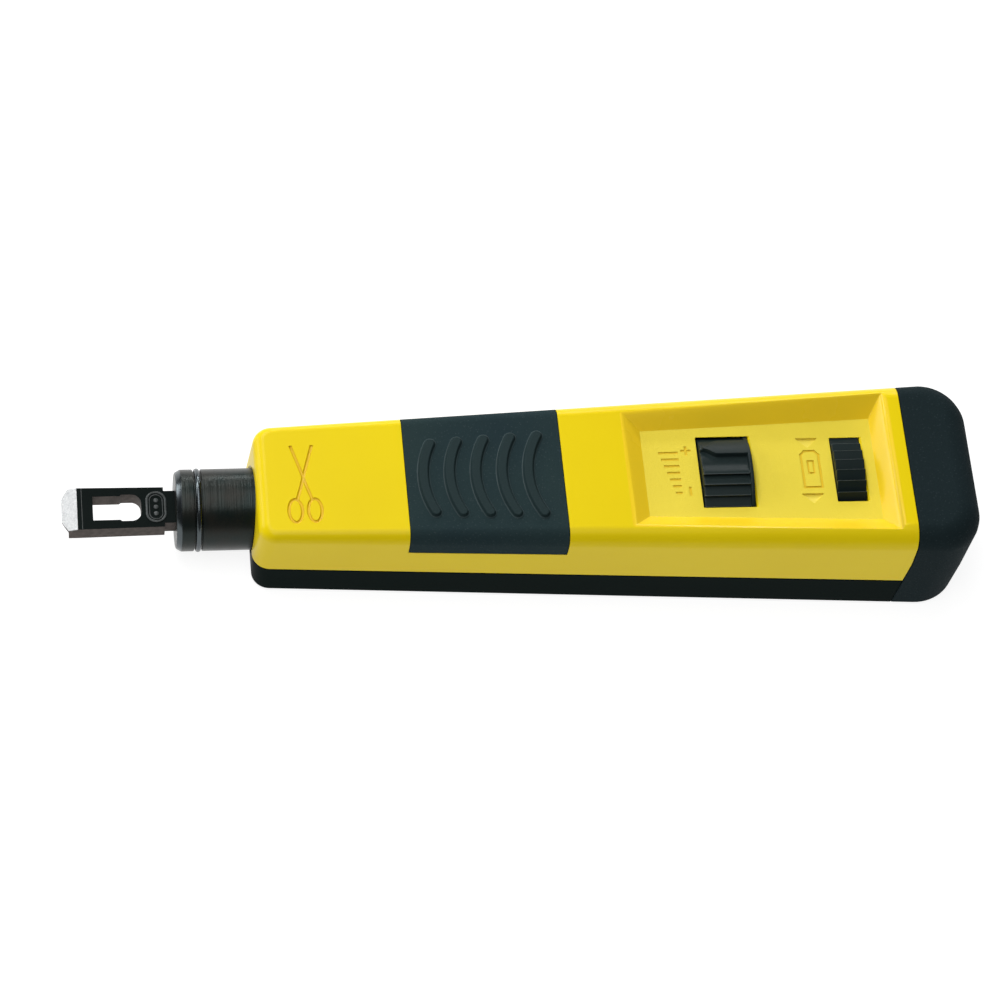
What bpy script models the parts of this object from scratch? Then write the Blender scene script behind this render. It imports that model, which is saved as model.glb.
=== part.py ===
"""Impact punch down tool: a two-shell casing around a spring-driven hammer mechanism.

Lengths are in millimetres. The casing is drawn from the nose face at x = 0 towards
the tail, with y across and z up from the flat back. The mechanism is drawn about the
tool axis, which climbs gently towards the tail along the middle of the tapered casing.
"""

import math

import bpy
import bmesh
from mathutils import Matrix, Vector

MM = 0.001

# Overall length
TIP_X = -34.2
TAIL_X = 128.8
MIDDLE_X = 0.5 * (TIP_X + TAIL_X)

# Casing taper, seen from above and from the side
NOSE_HALF_WIDTH = 11.75
SIDE_SLOPE = 0.0445
NOSE_TOP = 17.85
TOP_SLOPE = 0.0398
PARTING = 7.15
PARTING_SLOPE = 0.0081
PARTING_GAP = 0.12
TOP_FILLET = 1.9
TAIL_ROUND_X = 113.0
BOTTOM_FILLET = 0.7
NOSE_FACE_X = -0.85
NOSE_CORNER = 3.2
TAIL_CORNER = 8.0
WALL = 1.8
BOTTOM_WALL = 1.3
CAP_X = 117.15
CAP_GAP = 0.12
CAP_WALL = 2.6
SPIGOT_END = 122.0

# Tool axis
AXIS_Z = 8.4
AXIS_TILT = math.atan(0.02)
BARREL_BORE = 7.45

# Panel recess in the top face
FLOOR_Z = 17.59
FLOOR_SLOPE = 0.016
FLOOR_WALL = 1.6
FLOOR_X = (69.35, 111.6)
FLOOR_HALF = (8.9, 10.6)
RIM_X = (66.2, 114.05)
RIM_HALF = (11.8, 14.6)

# Windows for the two thumb wheels, along the tool axis
DIAL_WINDOW = (79.5, 89.15)
DIAL_WINDOW_R = 11.5
WHEEL_WINDOW = (104.0, 109.6)
WHEEL_WINDOW_R = 11.0

# Grip pad
PAD_X = (26.2, 54.5)
PAD_LOW_Z = 14.05
PAD_THICK = 1.15
PAD_GAP = 0.1
RIB_COUNT = 5
RIB_FIRST_X = 29.4
RIB_PITCH = 4.69
RIB_RADIUS = 16.0
RIB_MIDDLE_Y = -0.55
RIB_WIDTH = 2.0
RIB_HEIGHT = 0.8
RIB_HALF = (8.05, 9.0)

# Casing screws
SCREW_SPOTS = (
    ("casing_screw_nose_left", 9.0, 9.6),
    ("casing_screw_nose_right", 9.0, -9.6),
    ("casing_screw_tail_left", 97.0, 12.6),
    ("casing_screw_tail_right", 97.0, -12.6),
)
SCREW_HEAD_R = 1.7
SCREW_SHANK_R = 0.9
SCREW_SEAT_Z = 2.2

# Blade
BLADE_HALF = 4.07
BLADE_THICK = 2.93
BLADE_SHOULDER_X = -16.1
SHANK_HALF = 3.3
SHANK_NECK_HALF = 2.9
SHANK_END_X = 7.0
BLADE_TIP_HALF = 4.28
LIP_LENGTH = 1.15
SLOT_END_X = -20.13
SLOT_CORNER = 1.75
OVAL_X = -17.5
OVAL_HALF = (1.85, 3.2)

# Travel of the plunger, shared by every gap left behind it
STROKE = 8.0

AXIS_FRAME = (
    Matrix.Translation(Vector((-MIDDLE_X, 0.0, AXIS_Z)) * MM)
    @ Matrix.Rotation(-AXIS_TILT, 4, "Y")
)
CASE_FRAME = Matrix.Translation(Vector((-MIDDLE_X, 0.0, 0.0)) * MM)


def material(name, colour, roughness, metallic=0.0):
    made = bpy.data.materials.new(name)
    made.use_nodes = True
    shader = made.node_tree.nodes["Principled BSDF"]
    shader.inputs["Base Color"].default_value = (*colour, 1.0)
    shader.inputs["Roughness"].default_value = roughness
    shader.inputs["Metallic"].default_value = metallic
    made.diffuse_color = (*colour, 1.0)
    return made


def solid(name, points, faces, frame, paint=None):
    """A closed mesh object from millimetre points in the given frame."""
    mesh = bpy.data.meshes.new(name)
    mesh.from_pydata([tuple(c * MM for c in p) for p in points], [], faces)
    edit = bmesh.new()
    edit.from_mesh(mesh)
    bmesh.ops.recalc_face_normals(edit, faces=edit.faces)
    edit.to_mesh(mesh)
    edit.free()
    made = bpy.data.objects.new(name, mesh)
    bpy.context.scene.collection.objects.link(made)
    made.matrix_world = frame
    if paint:
        mesh.materials.append(paint)
    return made


def carve(target, cutter, operation="DIFFERENCE"):
    """Cut, join or intersect the target with a helper, which is then removed."""
    cutter.hide_render = True
    cutter.display_type = "WIRE"
    step = target.modifiers.new("carve", "BOOLEAN")
    step.operation = operation
    step.solver = "EXACT"
    step.object = cutter
    bpy.context.view_layer.update()
    graph = bpy.context.evaluated_depsgraph_get()
    shape = bpy.data.meshes.new_from_object(target.evaluated_get(graph))
    target.modifiers.clear()
    target.data = shape
    bpy.data.objects.remove(cutter)


def loft(name, loops, frame, paint=None):
    """Close a stack of equal-length loops into one solid with flat ends."""
    count = len(loops[0])
    points = [p for loop in loops for p in loop]
    faces = [tuple(range(count))]
    for row in range(len(loops) - 1):
        for i in range(count):
            a = row * count + i
            b = row * count + (i + 1) % count
            faces.append((a, b, b + count, a + count))
    faces.append(tuple(range((len(loops) - 1) * count, len(loops) * count)))
    return solid(name, points, faces, frame, paint)


def box(name, xs, ys, zs, frame, paint=None):
    loops = [[(x, ys[0], zs[0]), (x, ys[1], zs[0]), (x, ys[1], zs[1]), (x, ys[0], zs[1])]
             for x in xs]
    return loft(name, loops, frame, paint)


def turned(name, profile, steps, frame, paint=None):
    """Revolve (x, r) points about the local x axis. A profile that starts and ends at
    r = 0 makes a full body, and any other profile closes on itself as a ring."""
    full = profile[0][1] == 0.0
    rows = profile[1:-1] if full else profile
    points = []
    for x, r in rows:
        for i in range(steps):
            turn = 2.0 * math.pi * i / steps
            points.append((x, r * math.sin(turn), r * math.cos(turn)))
    faces = []
    joins = len(rows) - 1 if full else len(rows)
    for row in range(joins):
        following = (row + 1) % len(rows)
        for i in range(steps):
            j = (i + 1) % steps
            faces.append((row * steps + i, row * steps + j, following * steps + j, following * steps + i))
    if full:
        for row, x in ((0, profile[0][0]), (len(rows) - 1, profile[-1][0])):
            if abs(rows[row][0] - x) < 1e-9:
                faces.append(tuple(row * steps + i for i in range(steps)))
                continue
            points.append((x, 0.0, 0.0))
            for i in range(steps):
                faces.append((row * steps + i, row * steps + (i + 1) % steps, len(points) - 1))
    return solid(name, points, faces, frame, paint)


def rod_z(name, x, y, zs, radius, steps=24, paint=None):
    """An upright cylinder in the casing frame."""
    loops = []
    for z in zs:
        loops.append([(x + radius * math.cos(2 * math.pi * i / steps),
                       y + radius * math.sin(2 * math.pi * i / steps), z) for i in range(steps)])
    return loft(name, loops, CASE_FRAME, paint)


def coil(name, xs, mean_radius, wire_radius, turns, frame, paint, around=14, along=18):
    """A helical spring about the local x axis with one open wire end at each side."""
    start, end = xs[0] + wire_radius, xs[1] - wire_radius
    count = int(round(turns * along))
    loops = []
    for k in range(count + 1):
        share = k / count
        turn = 2.0 * math.pi * turns * share
        settle = 0.5 - 0.5 * math.cos(math.pi * share)
        travel = 0.75 * share + 0.25 * settle
        radial = Vector((0.0, math.sin(turn), math.cos(turn)))
        centre = Vector((start + (end - start) * travel, 0.0, 0.0)) + mean_radius * radial
        loop = []
        for i in range(around):
            side = 2.0 * math.pi * i / around
            loop.append(tuple(centre + wire_radius * (math.cos(side) * radial
                                                      + math.sin(side) * Vector((1.0, 0.0, 0.0)))))
        loops.append(loop)
    return loft(name, loops, frame, paint)


def smooth(target, angle=32.0):
    target.data.shade_smooth()
    target.data.set_sharp_from_angle(angle=math.radians(angle))


# Casing surfaces

def half_width(x):
    return NOSE_HALF_WIDTH + SIDE_SLOPE * x


def top_height(x):
    return NOSE_TOP + TOP_SLOPE * x


def parting_height(x):
    return PARTING + PARTING_SLOPE * x


def top_fillet(x):
    """The top edge's radius, which grows towards the tail and most of all over the cap."""
    return TOP_FILLET + 0.0075 * max(0.0, x) + 0.13 * max(0.0, x - TAIL_ROUND_X)


def front_x(z):
    """The nose face is upright at the tool axis and falls back above and below it."""
    return NOSE_FACE_X + 0.09 * max(0.0, z - 10.0) + 0.08 * max(0.0, 5.0 - z)


def back_x(z):
    """The tail face is upright near the top and tucks in towards the back."""
    return TAIL_X - 0.09 * max(0.0, 14.0 - z)


def outline(front, back, inset, corner_front, corner_back, steps=7, share=0.0):
    """The casing seen from above, inset by a distance, as a counter-clockwise loop.

    share moves each point in by that part of the top fillet's radius there, and each point
    carries the x it started from."""
    lean = math.atan(SIDE_SLOPE)
    stretch = math.sqrt(1.0 + SIDE_SLOPE ** 2)
    side = []
    for x, corner, first, last, sign in (
        (front + inset, corner_front, math.pi, 0.5 * math.pi + lean, 1.0),
        (back - inset, corner_back, 0.5 * math.pi + lean, 0.0, -1.0),
    ):
        cx = x + sign * corner
        cy = half_width(cx) - (inset + corner) * stretch
        for i in range(steps + 1):
            turn = first + (last - first) * i / steps
            start = cx + corner * math.cos(turn)
            reach = max(corner - share * top_fillet(start), 0.1 * corner)
            side.append((cx + reach * math.cos(turn), cy + reach * math.sin(turn), start))
    mirrored = [(x, -y, start) for x, y, start in reversed(side)]
    return mirrored + side


def envelope(name, inset, low, high, front=None, back=None, corner=None, paint=None):
    """The rounded outer form, inset all round, from height low up to the top less high."""
    levels = []
    for i in range(4):
        turn = 0.5 * math.pi * i / 3
        levels.append(("z", low + BOTTOM_FILLET * (1 - math.sin(turn)), BOTTOM_FILLET * (1 - math.cos(turn))))
    levels.reverse()
    levels = levels[::-1] if levels[0][1] > levels[-1][1] else levels
    levels.append(("part", 0.0, 0.0))
    for i in range(5):
        turn = 0.5 * math.pi * i / 4
        levels.append(("top", 1 - math.sin(turn), 1 - math.cos(turn)))
    loops = []
    for kind, value, pull in levels:
        share, drop = 0.0, lambda x: value
        if kind == "top" and corner is None:
            share, drop, pull = pull, (lambda x, part=value: high + part * top_fillet(x)), 0.0
        elif kind == "top":
            drop, pull = (lambda x, part=value: high + part * TOP_FILLET), TOP_FILLET * pull
        at_front = {"z": value, "part": PARTING, "top": NOSE_TOP - drop(0.0)}[kind]
        at_back = {"z": value, "part": parting_height(TAIL_X), "top": top_height(TAIL_X) - drop(TAIL_X)}[kind]
        first = front_x(at_front) if front is None else front - inset
        last = back_x(at_back) if back is None else back + inset
        nose_corner = max(NOSE_CORNER - inset - pull, 0.8) if corner is None else corner
        tail_corner = max(TAIL_CORNER - inset - pull, 0.8) if corner is None else corner
        loop = outline(first, last, inset + pull, nose_corner, tail_corner, share=share)
        if kind == "z":
            loops.append([(x, y, value) for x, y, start in loop])
        elif kind == "part":
            loops.append([(x, y, parting_height(x)) for x, y, start in loop])
        else:
            loops.append([(x, y, top_height(x) - drop(start)) for x, y, start in loop])
    return loft(name, loops, CASE_FRAME, paint)


def wedge(name, xs, half, low, high, frame=CASE_FRAME):
    """A block whose lower and upper faces follow two slanted planes."""
    loops = [[(x, -half, low(x)), (x, half, low(x)), (x, half, high(x)), (x, -half, high(x))] for x in xs]
    return loft(name, loops, frame)


def half_drum(name, xs, radius, steps=36):
    """The upper half of a drum on the tool axis."""
    loops = []
    for x in xs:
        loops.append([(x, radius * math.cos(math.pi * i / steps), radius * math.sin(math.pi * i / steps))
                      for i in range(steps + 1)])
    return loft(name, loops, AXIS_FRAME)


def cap_plane_x(z):
    """The joint between casing and cap runs upright, then curls forward near the back."""
    return CAP_X - 0.09 * max(0.0, 14.0 - z)


def cap_side(name, offset, towards_tail):
    """Everything on one side of the cap joint, shifted by an offset."""
    far = 160.0 if towards_tail else -60.0
    loops = []
    for y in (-40.0, 40.0):
        loops.append([
            (far, y, -20.0), (cap_plane_x(-20.0) + offset, y, -20.0),
            (cap_plane_x(14.0) + offset, y, 14.0), (CAP_X + offset, y, 50.0), (far, y, 50.0),
        ])
    return loft(name, loops, CASE_FRAME)


def recess_cutter():
    """The panel recess: a flat floor with sloping walls that run out past the top face."""
    loops = []
    for reach in (0.0, 1.6):
        loop = []
        for end, sign in ((0, -1), (1, -1), (1, 1), (0, 1)):
            x = FLOOR_X[end] + (RIM_X[end] - FLOOR_X[end]) * reach
            y = FLOOR_HALF[end] + (RIM_HALF[end] - FLOOR_HALF[end]) * reach
            base = FLOOR_Z + FLOOR_SLOPE * FLOOR_X[end]
            rise = top_height(RIM_X[end]) - base
            loop.append((x, sign * y, base + rise * reach))
        loops.append(loop)
    return loft("recess_cutter", loops, CASE_FRAME)


def floor_height(x):
    return FLOOR_Z + FLOOR_SLOPE * x


def casing_block(name):
    """Solid casing with the cap spigot, before it is hollowed and split."""
    block = envelope(name, 0.0, 0.0, 0.0)
    carve(block, cap_side("front_side", -CAP_GAP, False), "INTERSECT")
    spigot = envelope("spigot", CAP_WALL + 0.15, 2.9, 2.75)
    carve(spigot, wedge("spigot_span", (110.0, SPIGOT_END), 30.0, lambda x: -5.0, lambda x: 40.0), "INTERSECT")
    carve(block, spigot, "UNION")
    return block


def hollow(block):
    cavity = envelope("cavity", WALL, BOTTOM_WALL, WALL, front=4.5 + WALL, back=115.2 - WALL, corner=1.0)
    carve(cavity, wedge("under_floor", (64.4, 116.0), 30.0, lambda x: floor_height(x) - FLOOR_WALL,
                        lambda x: 40.0))
    carve(block, cavity)
    barrel = turned("barrel_bore", [(-4.0, 0.0), (-4.0, BARREL_BORE), (16.4, BARREL_BORE), (16.4, 0.0)],
                    48, AXIS_FRAME)
    carve(block, barrel)
    lead = turned("bore_lead", [(-5.0, 0.0), (-5.0, BARREL_BORE + 4.8), (0.0, BARREL_BORE - 0.2), (0.0, 0.0)],
                  48, AXIS_FRAME)
    carve(block, lead)
    rear = turned("rod_hole", [(112.0, 0.0), (112.0, 1.9), (126.0, 1.9), (126.0, 0.0)], 20, AXIS_FRAME)
    carve(block, rear)


def cradle_ribs(block):
    """Cross walls that carry the mechanism, each bored on the tool axis."""
    for x0, x1, bore in ((17.3, 19.6, 5.65), (91.6, 93.4, 3.3), (112.9, 114.3, 1.6)):
        rib = wedge("rib", (x0, x1), 30.0, lambda x: 0.5, lambda x: floor_height(x) - 0.5 * FLOOR_WALL
                    if x > 60.0 else top_height(x) - 0.5)
        trim = envelope("rib_trim", 0.6, 0.6, 0.6)
        carve(rib, trim, "INTERSECT")
        hole = turned("rib_bore", [(x0 - 1, 0.0), (x0 - 1, bore), (x1 + 1, bore), (x1 + 1, 0.0)],
                      40, AXIS_FRAME)
        carve(rib, hole)
        carve(block, rib, "UNION")


def key_rails(block):
    """Two rails in the back half that the keys of the spring follower ride on."""
    for sign in (-1.0, 1.0):
        ys = sorted((sign * 7.0, sign * 9.0))
        carve(block, box("rail", (69.5, 79.0), ys, (0.8, 7.55), CASE_FRAME), "UNION")


def screw_posts(block):
    for name, x, y in SCREW_SPOTS:
        top = floor_height(x) - 0.4 if x > 60.0 else top_height(x) - 0.6
        post = rod_z("post", x, y, (0.5, top), 2.5)
        trim = envelope("post_trim", 0.5, 0.5, 0.5)
        carve(post, trim, "INTERSECT")
        if x < 20.0:
            clear = turned("post_clear", [(-4.0, 0.0), (-4.0, BARREL_BORE), (16.0, BARREL_BORE), (16.0, 0.0)],
                           48, AXIS_FRAME)
            carve(post, clear)
        carve(block, post, "UNION")


def screw_holes(block):
    for name, x, y in SCREW_SPOTS:
        carve(block, rod_z("head_hole", x, y, (-1.0, SCREW_SEAT_Z), SCREW_HEAD_R + 0.15))
        carve(block, rod_z("shank_hole", x, y, (SCREW_SEAT_Z - 0.5, 14.2), SCREW_SHANK_R + 0.15, 16))


def make_casing(yellow, black):
    block = casing_block("casing")
    hollow(block)
    cradle_ribs(block)
    key_rails(block)
    screw_posts(block)
    screw_holes(block)
    halves = []
    for name, paint, low, high in (
        ("top_shell", yellow, lambda x: parting_height(x) + 0.5 * PARTING_GAP, lambda x: 60.0),
        ("bottom_shell", black, lambda x: -20.0, lambda x: parting_height(x) - 0.5 * PARTING_GAP),
    ):
        half = block.copy()
        half.data = block.data.copy()
        half.name = name
        bpy.context.scene.collection.objects.link(half)
        carve(half, wedge("split", (-20.0, 140.0), 40.0, low, high), "INTERSECT")
        half.data.materials.clear()
        half.data.materials.append(paint)
        halves.append(half)
    bpy.data.objects.remove(block)
    top = halves[0]
    carve(top, recess_cutter())
    carve(top, half_drum("dial_window", DIAL_WINDOW, DIAL_WINDOW_R))
    carve(top, half_drum("wheel_window", WHEEL_WINDOW, WHEEL_WINDOW_R))
    carve(top, pad_region("pad_pocket", 0.0, PAD_THICK))
    for half in halves:
        smooth(half, 28.0)


def pad_low(x):
    return PAD_LOW_Z + 0.02 * (x - PAD_X[0])


def pad_region(name, gap, depth):
    """A saddle over the top and both sides: a slab of space above an inset casing form."""
    xs = (PAD_X[0] + gap, PAD_X[1] - gap)
    saddle = wedge(name, xs, 40.0, lambda x: pad_low(x) + gap, lambda x: 40.0)
    core = envelope("core", depth, depth, depth)
    carve(saddle, core)
    return saddle


def rib_arc(index):
    """One raised arc on the pad, bulging towards the nose."""
    middle = RIB_FIRST_X + RIB_PITCH * index
    half = RIB_HALF[0] + (RIB_HALF[1] - RIB_HALF[0]) * index / (RIB_COUNT - 1)
    span = math.asin(half / RIB_RADIUS)
    loops = []
    for k in range(13):
        turn = math.pi - span + 2.0 * span * k / 12
        loop = []
        for radius, lift in ((RIB_RADIUS - 0.5 * RIB_WIDTH, -0.6), (RIB_RADIUS - 0.5 * RIB_WIDTH, 0.35),
                             (RIB_RADIUS - 0.3 * RIB_WIDTH, RIB_HEIGHT),
                             (RIB_RADIUS + 0.3 * RIB_WIDTH, RIB_HEIGHT),
                             (RIB_RADIUS + 0.5 * RIB_WIDTH, 0.35), (RIB_RADIUS + 0.5 * RIB_WIDTH, -0.6)):
            x = middle + RIB_RADIUS + radius * math.cos(turn)
            loop.append((x, RIB_MIDDLE_Y + radius * math.sin(turn), top_height(x) + lift))
        loops.append(loop)
    return loft("rib_arc", loops, CASE_FRAME)


def make_grip_pad(rubber):
    pad = pad_region("grip_pad", PAD_GAP, PAD_THICK - PAD_GAP)
    outer = envelope("pad_outer", 0.0, 0.0, 0.0)
    carve(pad, outer, "INTERSECT")
    for index in range(RIB_COUNT):
        carve(pad, rib_arc(index), "UNION")
    pad.data.materials.clear()
    pad.data.materials.append(rubber)
    smooth(pad)


def make_end_cap(rubber):
    cap = envelope("end_cap", 0.0, 0.0, 0.0)
    carve(cap, cap_side("tail_side", 0.0, True), "INTERSECT")
    hollowing = envelope("cap_hollow", CAP_WALL, 2.6, 2.6)
    carve(hollowing, cap_side("hollow_side", -3.0, True), "INTERSECT")
    carve(cap, hollowing)
    cap.data.materials.clear()
    cap.data.materials.append(rubber)
    smooth(cap)


def make_screws(steel):
    for name, x, y in SCREW_SPOTS:
        screw = rod_z(name, x, y, (0.5, SCREW_SEAT_Z - 0.1), SCREW_HEAD_R, 24, steel)
        carve(screw, rod_z("shank", x, y, (1.0, 13.4), SCREW_SHANK_R, 16), "UNION")
        for ys, xs in (((-0.3, 0.3), (-1.0, 1.0)), ((-1.0, 1.0), (-0.3, 0.3))):
            carve(screw, box("cross", (x + xs[0], x + xs[1]), (y + ys[0], y + ys[1]), (0.0, 1.2), CASE_FRAME))
        smooth(screw)


# Mechanism on the tool axis

def make_barrel(steel_black, steel_bright):
    barrel = turned("chuck_sleeve", [
        (-14.15, 0.0), (-14.15, 6.8), (-13.3, 7.3), (-10.95, 7.3), (-10.95, 6.72), (-9.5, 6.72),
        (-9.5, 7.3), (6.0, 7.3), (6.0, 5.5), (19.85, 5.5), (19.85, 4.9), (20.95, 4.9), (20.95, 5.5),
        (23.0, 5.5), (23.0, 4.4), (-1.0, 4.4), (-1.0, 0.0)], 48, AXIS_FRAME, steel_black)
    carve(barrel, box("blade_slot", (-15.0, 0.5), (-3.45, 3.45), (-1.6, 1.6), AXIS_FRAME))
    smooth(barrel)
    ring = turned("chuck_ring", [(-10.7, 6.85), (-10.7, 7.32), (-10.5, 7.46), (-9.9, 7.46), (-9.7, 7.32),
                                 (-9.7, 6.85)], 48, AXIS_FRAME, steel_bright)
    carve(ring, box("ring_gap", (-11.5, -8.5), (3.0, 9.0), (-5.4, -4.4), AXIS_FRAME))
    smooth(ring)
    clip = turned("retaining_clip", [(19.98, 4.98), (19.98, 6.8), (20.82, 6.8), (20.82, 4.98)],
                  40, AXIS_FRAME, steel_bright)
    carve(clip, box("clip_gap", (19.0, 22.0), (-2.6, 2.6), (-9.0, 0.0), AXIS_FRAME))
    smooth(clip)


def plate(name, profile, zs, frame, paint=None):
    """A flat plate: an (x, y) outline between two heights."""
    return loft(name, [[(x, y, z) for x, y in profile] for z in zs], frame, paint)


def make_blade(steel):
    half = 0.5 * BLADE_THICK
    side = [(TIP_X, 2.3), (TIP_X + 1.1, BLADE_TIP_HALF), (BLADE_SHOULDER_X, BLADE_HALF), (BLADE_SHOULDER_X, SHANK_HALF),
            (1.5, SHANK_HALF), (1.5, SHANK_NECK_HALF), (3.1, SHANK_NECK_HALF), (3.1, 2.2), (4.9, 2.2),
            (4.9, SHANK_NECK_HALF), (SHANK_END_X - 0.5, SHANK_NECK_HALF), (SHANK_END_X, 2.4)]
    profile = side + [(x, -y) for x, y in reversed(side)]
    blade = plate("punch_blade", profile, (-half, half), AXIS_FRAME, steel)
    grind = [(TIP_X - 1.0, half - 1.0), (TIP_X + 2.8, half + 0.02), (TIP_X + 2.8, half + 2.0),
             (TIP_X - 1.0, half + 2.0)]
    carve(blade, loft("grind", [[(x, y, z) for x, z in grind] for y in (-6.0, 6.0)], AXIS_FRAME))
    carve(blade, box("lip", (TIP_X - 1.0, TIP_X + LIP_LENGTH), (-6.0, 6.0), (-half - 1.0, half - 1.0), AXIS_FRAME))
    slot = [(-28.7, -2.45), (-23.9, -2.45), (-23.6, -2.72)]
    for sign in (-1.0, 1.0):
        for k in range(7):
            turn = 0.5 * math.pi * (k / 6 - 1.0 if sign < 0.0 else k / 6)
            slot.append((SLOT_END_X - SLOT_CORNER + SLOT_CORNER * math.cos(turn),
                         sign * (2.72 - SLOT_CORNER) + SLOT_CORNER * math.sin(turn)))
    slot += [(-23.6, 2.72), (-23.9, 2.45), (-28.7, 2.45)]
    carve(blade, plate("wire_slot", slot, (-3.0, 3.0), AXIS_FRAME))
    oval = []
    for k in range(24):
        turn = 2.0 * math.pi * (k + 0.5) / 24
        shift = math.copysign(OVAL_HALF[1] - OVAL_HALF[0], math.sin(turn))
        oval.append((OVAL_X + OVAL_HALF[0] * math.cos(turn), shift + OVAL_HALF[0] * math.sin(turn)))
    carve(blade, plate("oval_pad", oval, (half - 0.5, half + 0.15), AXIS_FRAME), "UNION")
    smooth(blade)


def make_lock_and_rod(steel, brass):
    lock = turned("blade_lock", [(7.4, 1.18), (7.4, 4.25), (9.6, 4.25), (9.6, 1.18)], 40, AXIS_FRAME, brass)
    for sign in (-1.0, 1.0):
        ys = sorted((sign * 3.45, sign * 4.12))
        carve(lock, box("prong", (2.2, 8.0), ys, (-1.0, 1.0), AXIS_FRAME), "UNION")
    smooth(lock)
    rod = turned("release_rod", [(7.6, 0.0), (7.6, 1.1), (94.6, 1.1), (94.6, 0.0)], 24, AXIS_FRAME, steel)
    corner = 1.1 / math.cos(math.pi / 6)
    hexagon = [(corner * math.cos(math.pi * k / 3), corner * math.sin(math.pi * k / 3)) for k in range(6)]
    carve(rod, loft("rod_hex", [[(x, y, z) for y, z in hexagon] for x in (94.2, 114.6)], AXIS_FRAME), "UNION")
    smooth(rod)


def make_hammer(steel, steel_bright, spring_steel):
    stem = turned("drive_stem", [(10.6, 1.35), (10.6, 4.3), (13.8, 4.3), (13.8, 2.4), (32.3, 2.4),
                                 (32.3, 1.35)], 32, AXIS_FRAME, steel_bright)
    smooth(stem)
    hammer = turned("hammer", [(30.0, 2.6), (30.0, 5.8), (30.5, 6.3), (49.5, 6.3), (50.0, 5.8), (50.0, 4.0),
                               (54.0, 4.0), (54.0, 2.6)], 40, AXIS_FRAME, steel)
    carve(hammer, box("latch_slot", (32.5, 35.9), (-5.5, 9.0), (-3.6, 3.6), AXIS_FRAME))
    smooth(hammer)
    latch = box("latch_plate", (32.7, 35.7), (-3.3, 7.6), (-3.4, 3.4), AXIS_FRAME, steel_bright)
    hole = turned("latch_hole", [(31.0, 0.0), (31.0, 2.4), (37.0, 2.4), (37.0, 0.0)], 28,
                  AXIS_FRAME @ Matrix.Translation((0.0, 1.15 * MM, 0.0)))
    carve(latch, hole)
    smooth(latch)
    across = AXIS_FRAME @ Matrix.Translation((34.2 * MM, 0.0, 0.0)) @ Matrix.Rotation(math.radians(-90.0), 4, "Z")
    coil("latch_spring", (3.45, 5.35), 1.0, 0.2, 2.5, across, spring_steel, 6, 12)
    ramp = [(34.0, 11.15), (34.0, 7.95), (36.1, 7.75), (44.6, 6.55), (47.0, 6.55), (47.0, 11.15)]
    plate("latch_cam", ramp, (-3.0, 3.0), AXIS_FRAME, steel_bright)
    coil("return_spring", (6.25, 17.05), 6.4, 0.3, 5.0, AXIS_FRAME, spring_steel, 6, 15)
    coil("impact_spring", (50.3, 71.8), 5.1, 0.65, 8.0, AXIS_FRAME, spring_steel, 7, 14)


def sector_loop(x, inner, outer_at, first, last, steps):
    """A ring sector in the plane x, with an outer radius that varies with the angle."""
    loop = []
    for k in range(steps + 1):
        turn = math.radians(first + (last - first) * k / steps)
        radius = outer_at(math.degrees(turn))
        loop.append((x, radius * math.sin(turn), radius * math.cos(turn)))
    for k in range(steps, -1, -1):
        turn = math.radians(first + (last - first) * k / steps)
        loop.append((x, inner * math.sin(turn), inner * math.cos(turn)))
    return loop


DIAL_R = 11.35
HOLLOW_TOP = 13.5
RIDGE_TOP = -9.0
RIDGE_PITCH = 10.5
RIDGES = 3


def dial_radius(angle):
    """Across the dial: a thumb hollow, then stepped ridges that rise towards the near side."""
    if angle > HOLLOW_TOP:
        return DIAL_R
    if angle > RIDGE_TOP:
        return DIAL_R - 0.2 - 0.6 * (angle - RIDGE_TOP) / (HOLLOW_TOP - RIDGE_TOP)
    if angle > RIDGE_TOP - RIDGES * RIDGE_PITCH:
        share = ((RIDGE_TOP - angle) / RIDGE_PITCH) % 1.0
        return DIAL_R - 0.75 + 0.65 * share
    return DIAL_R - 0.1


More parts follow.
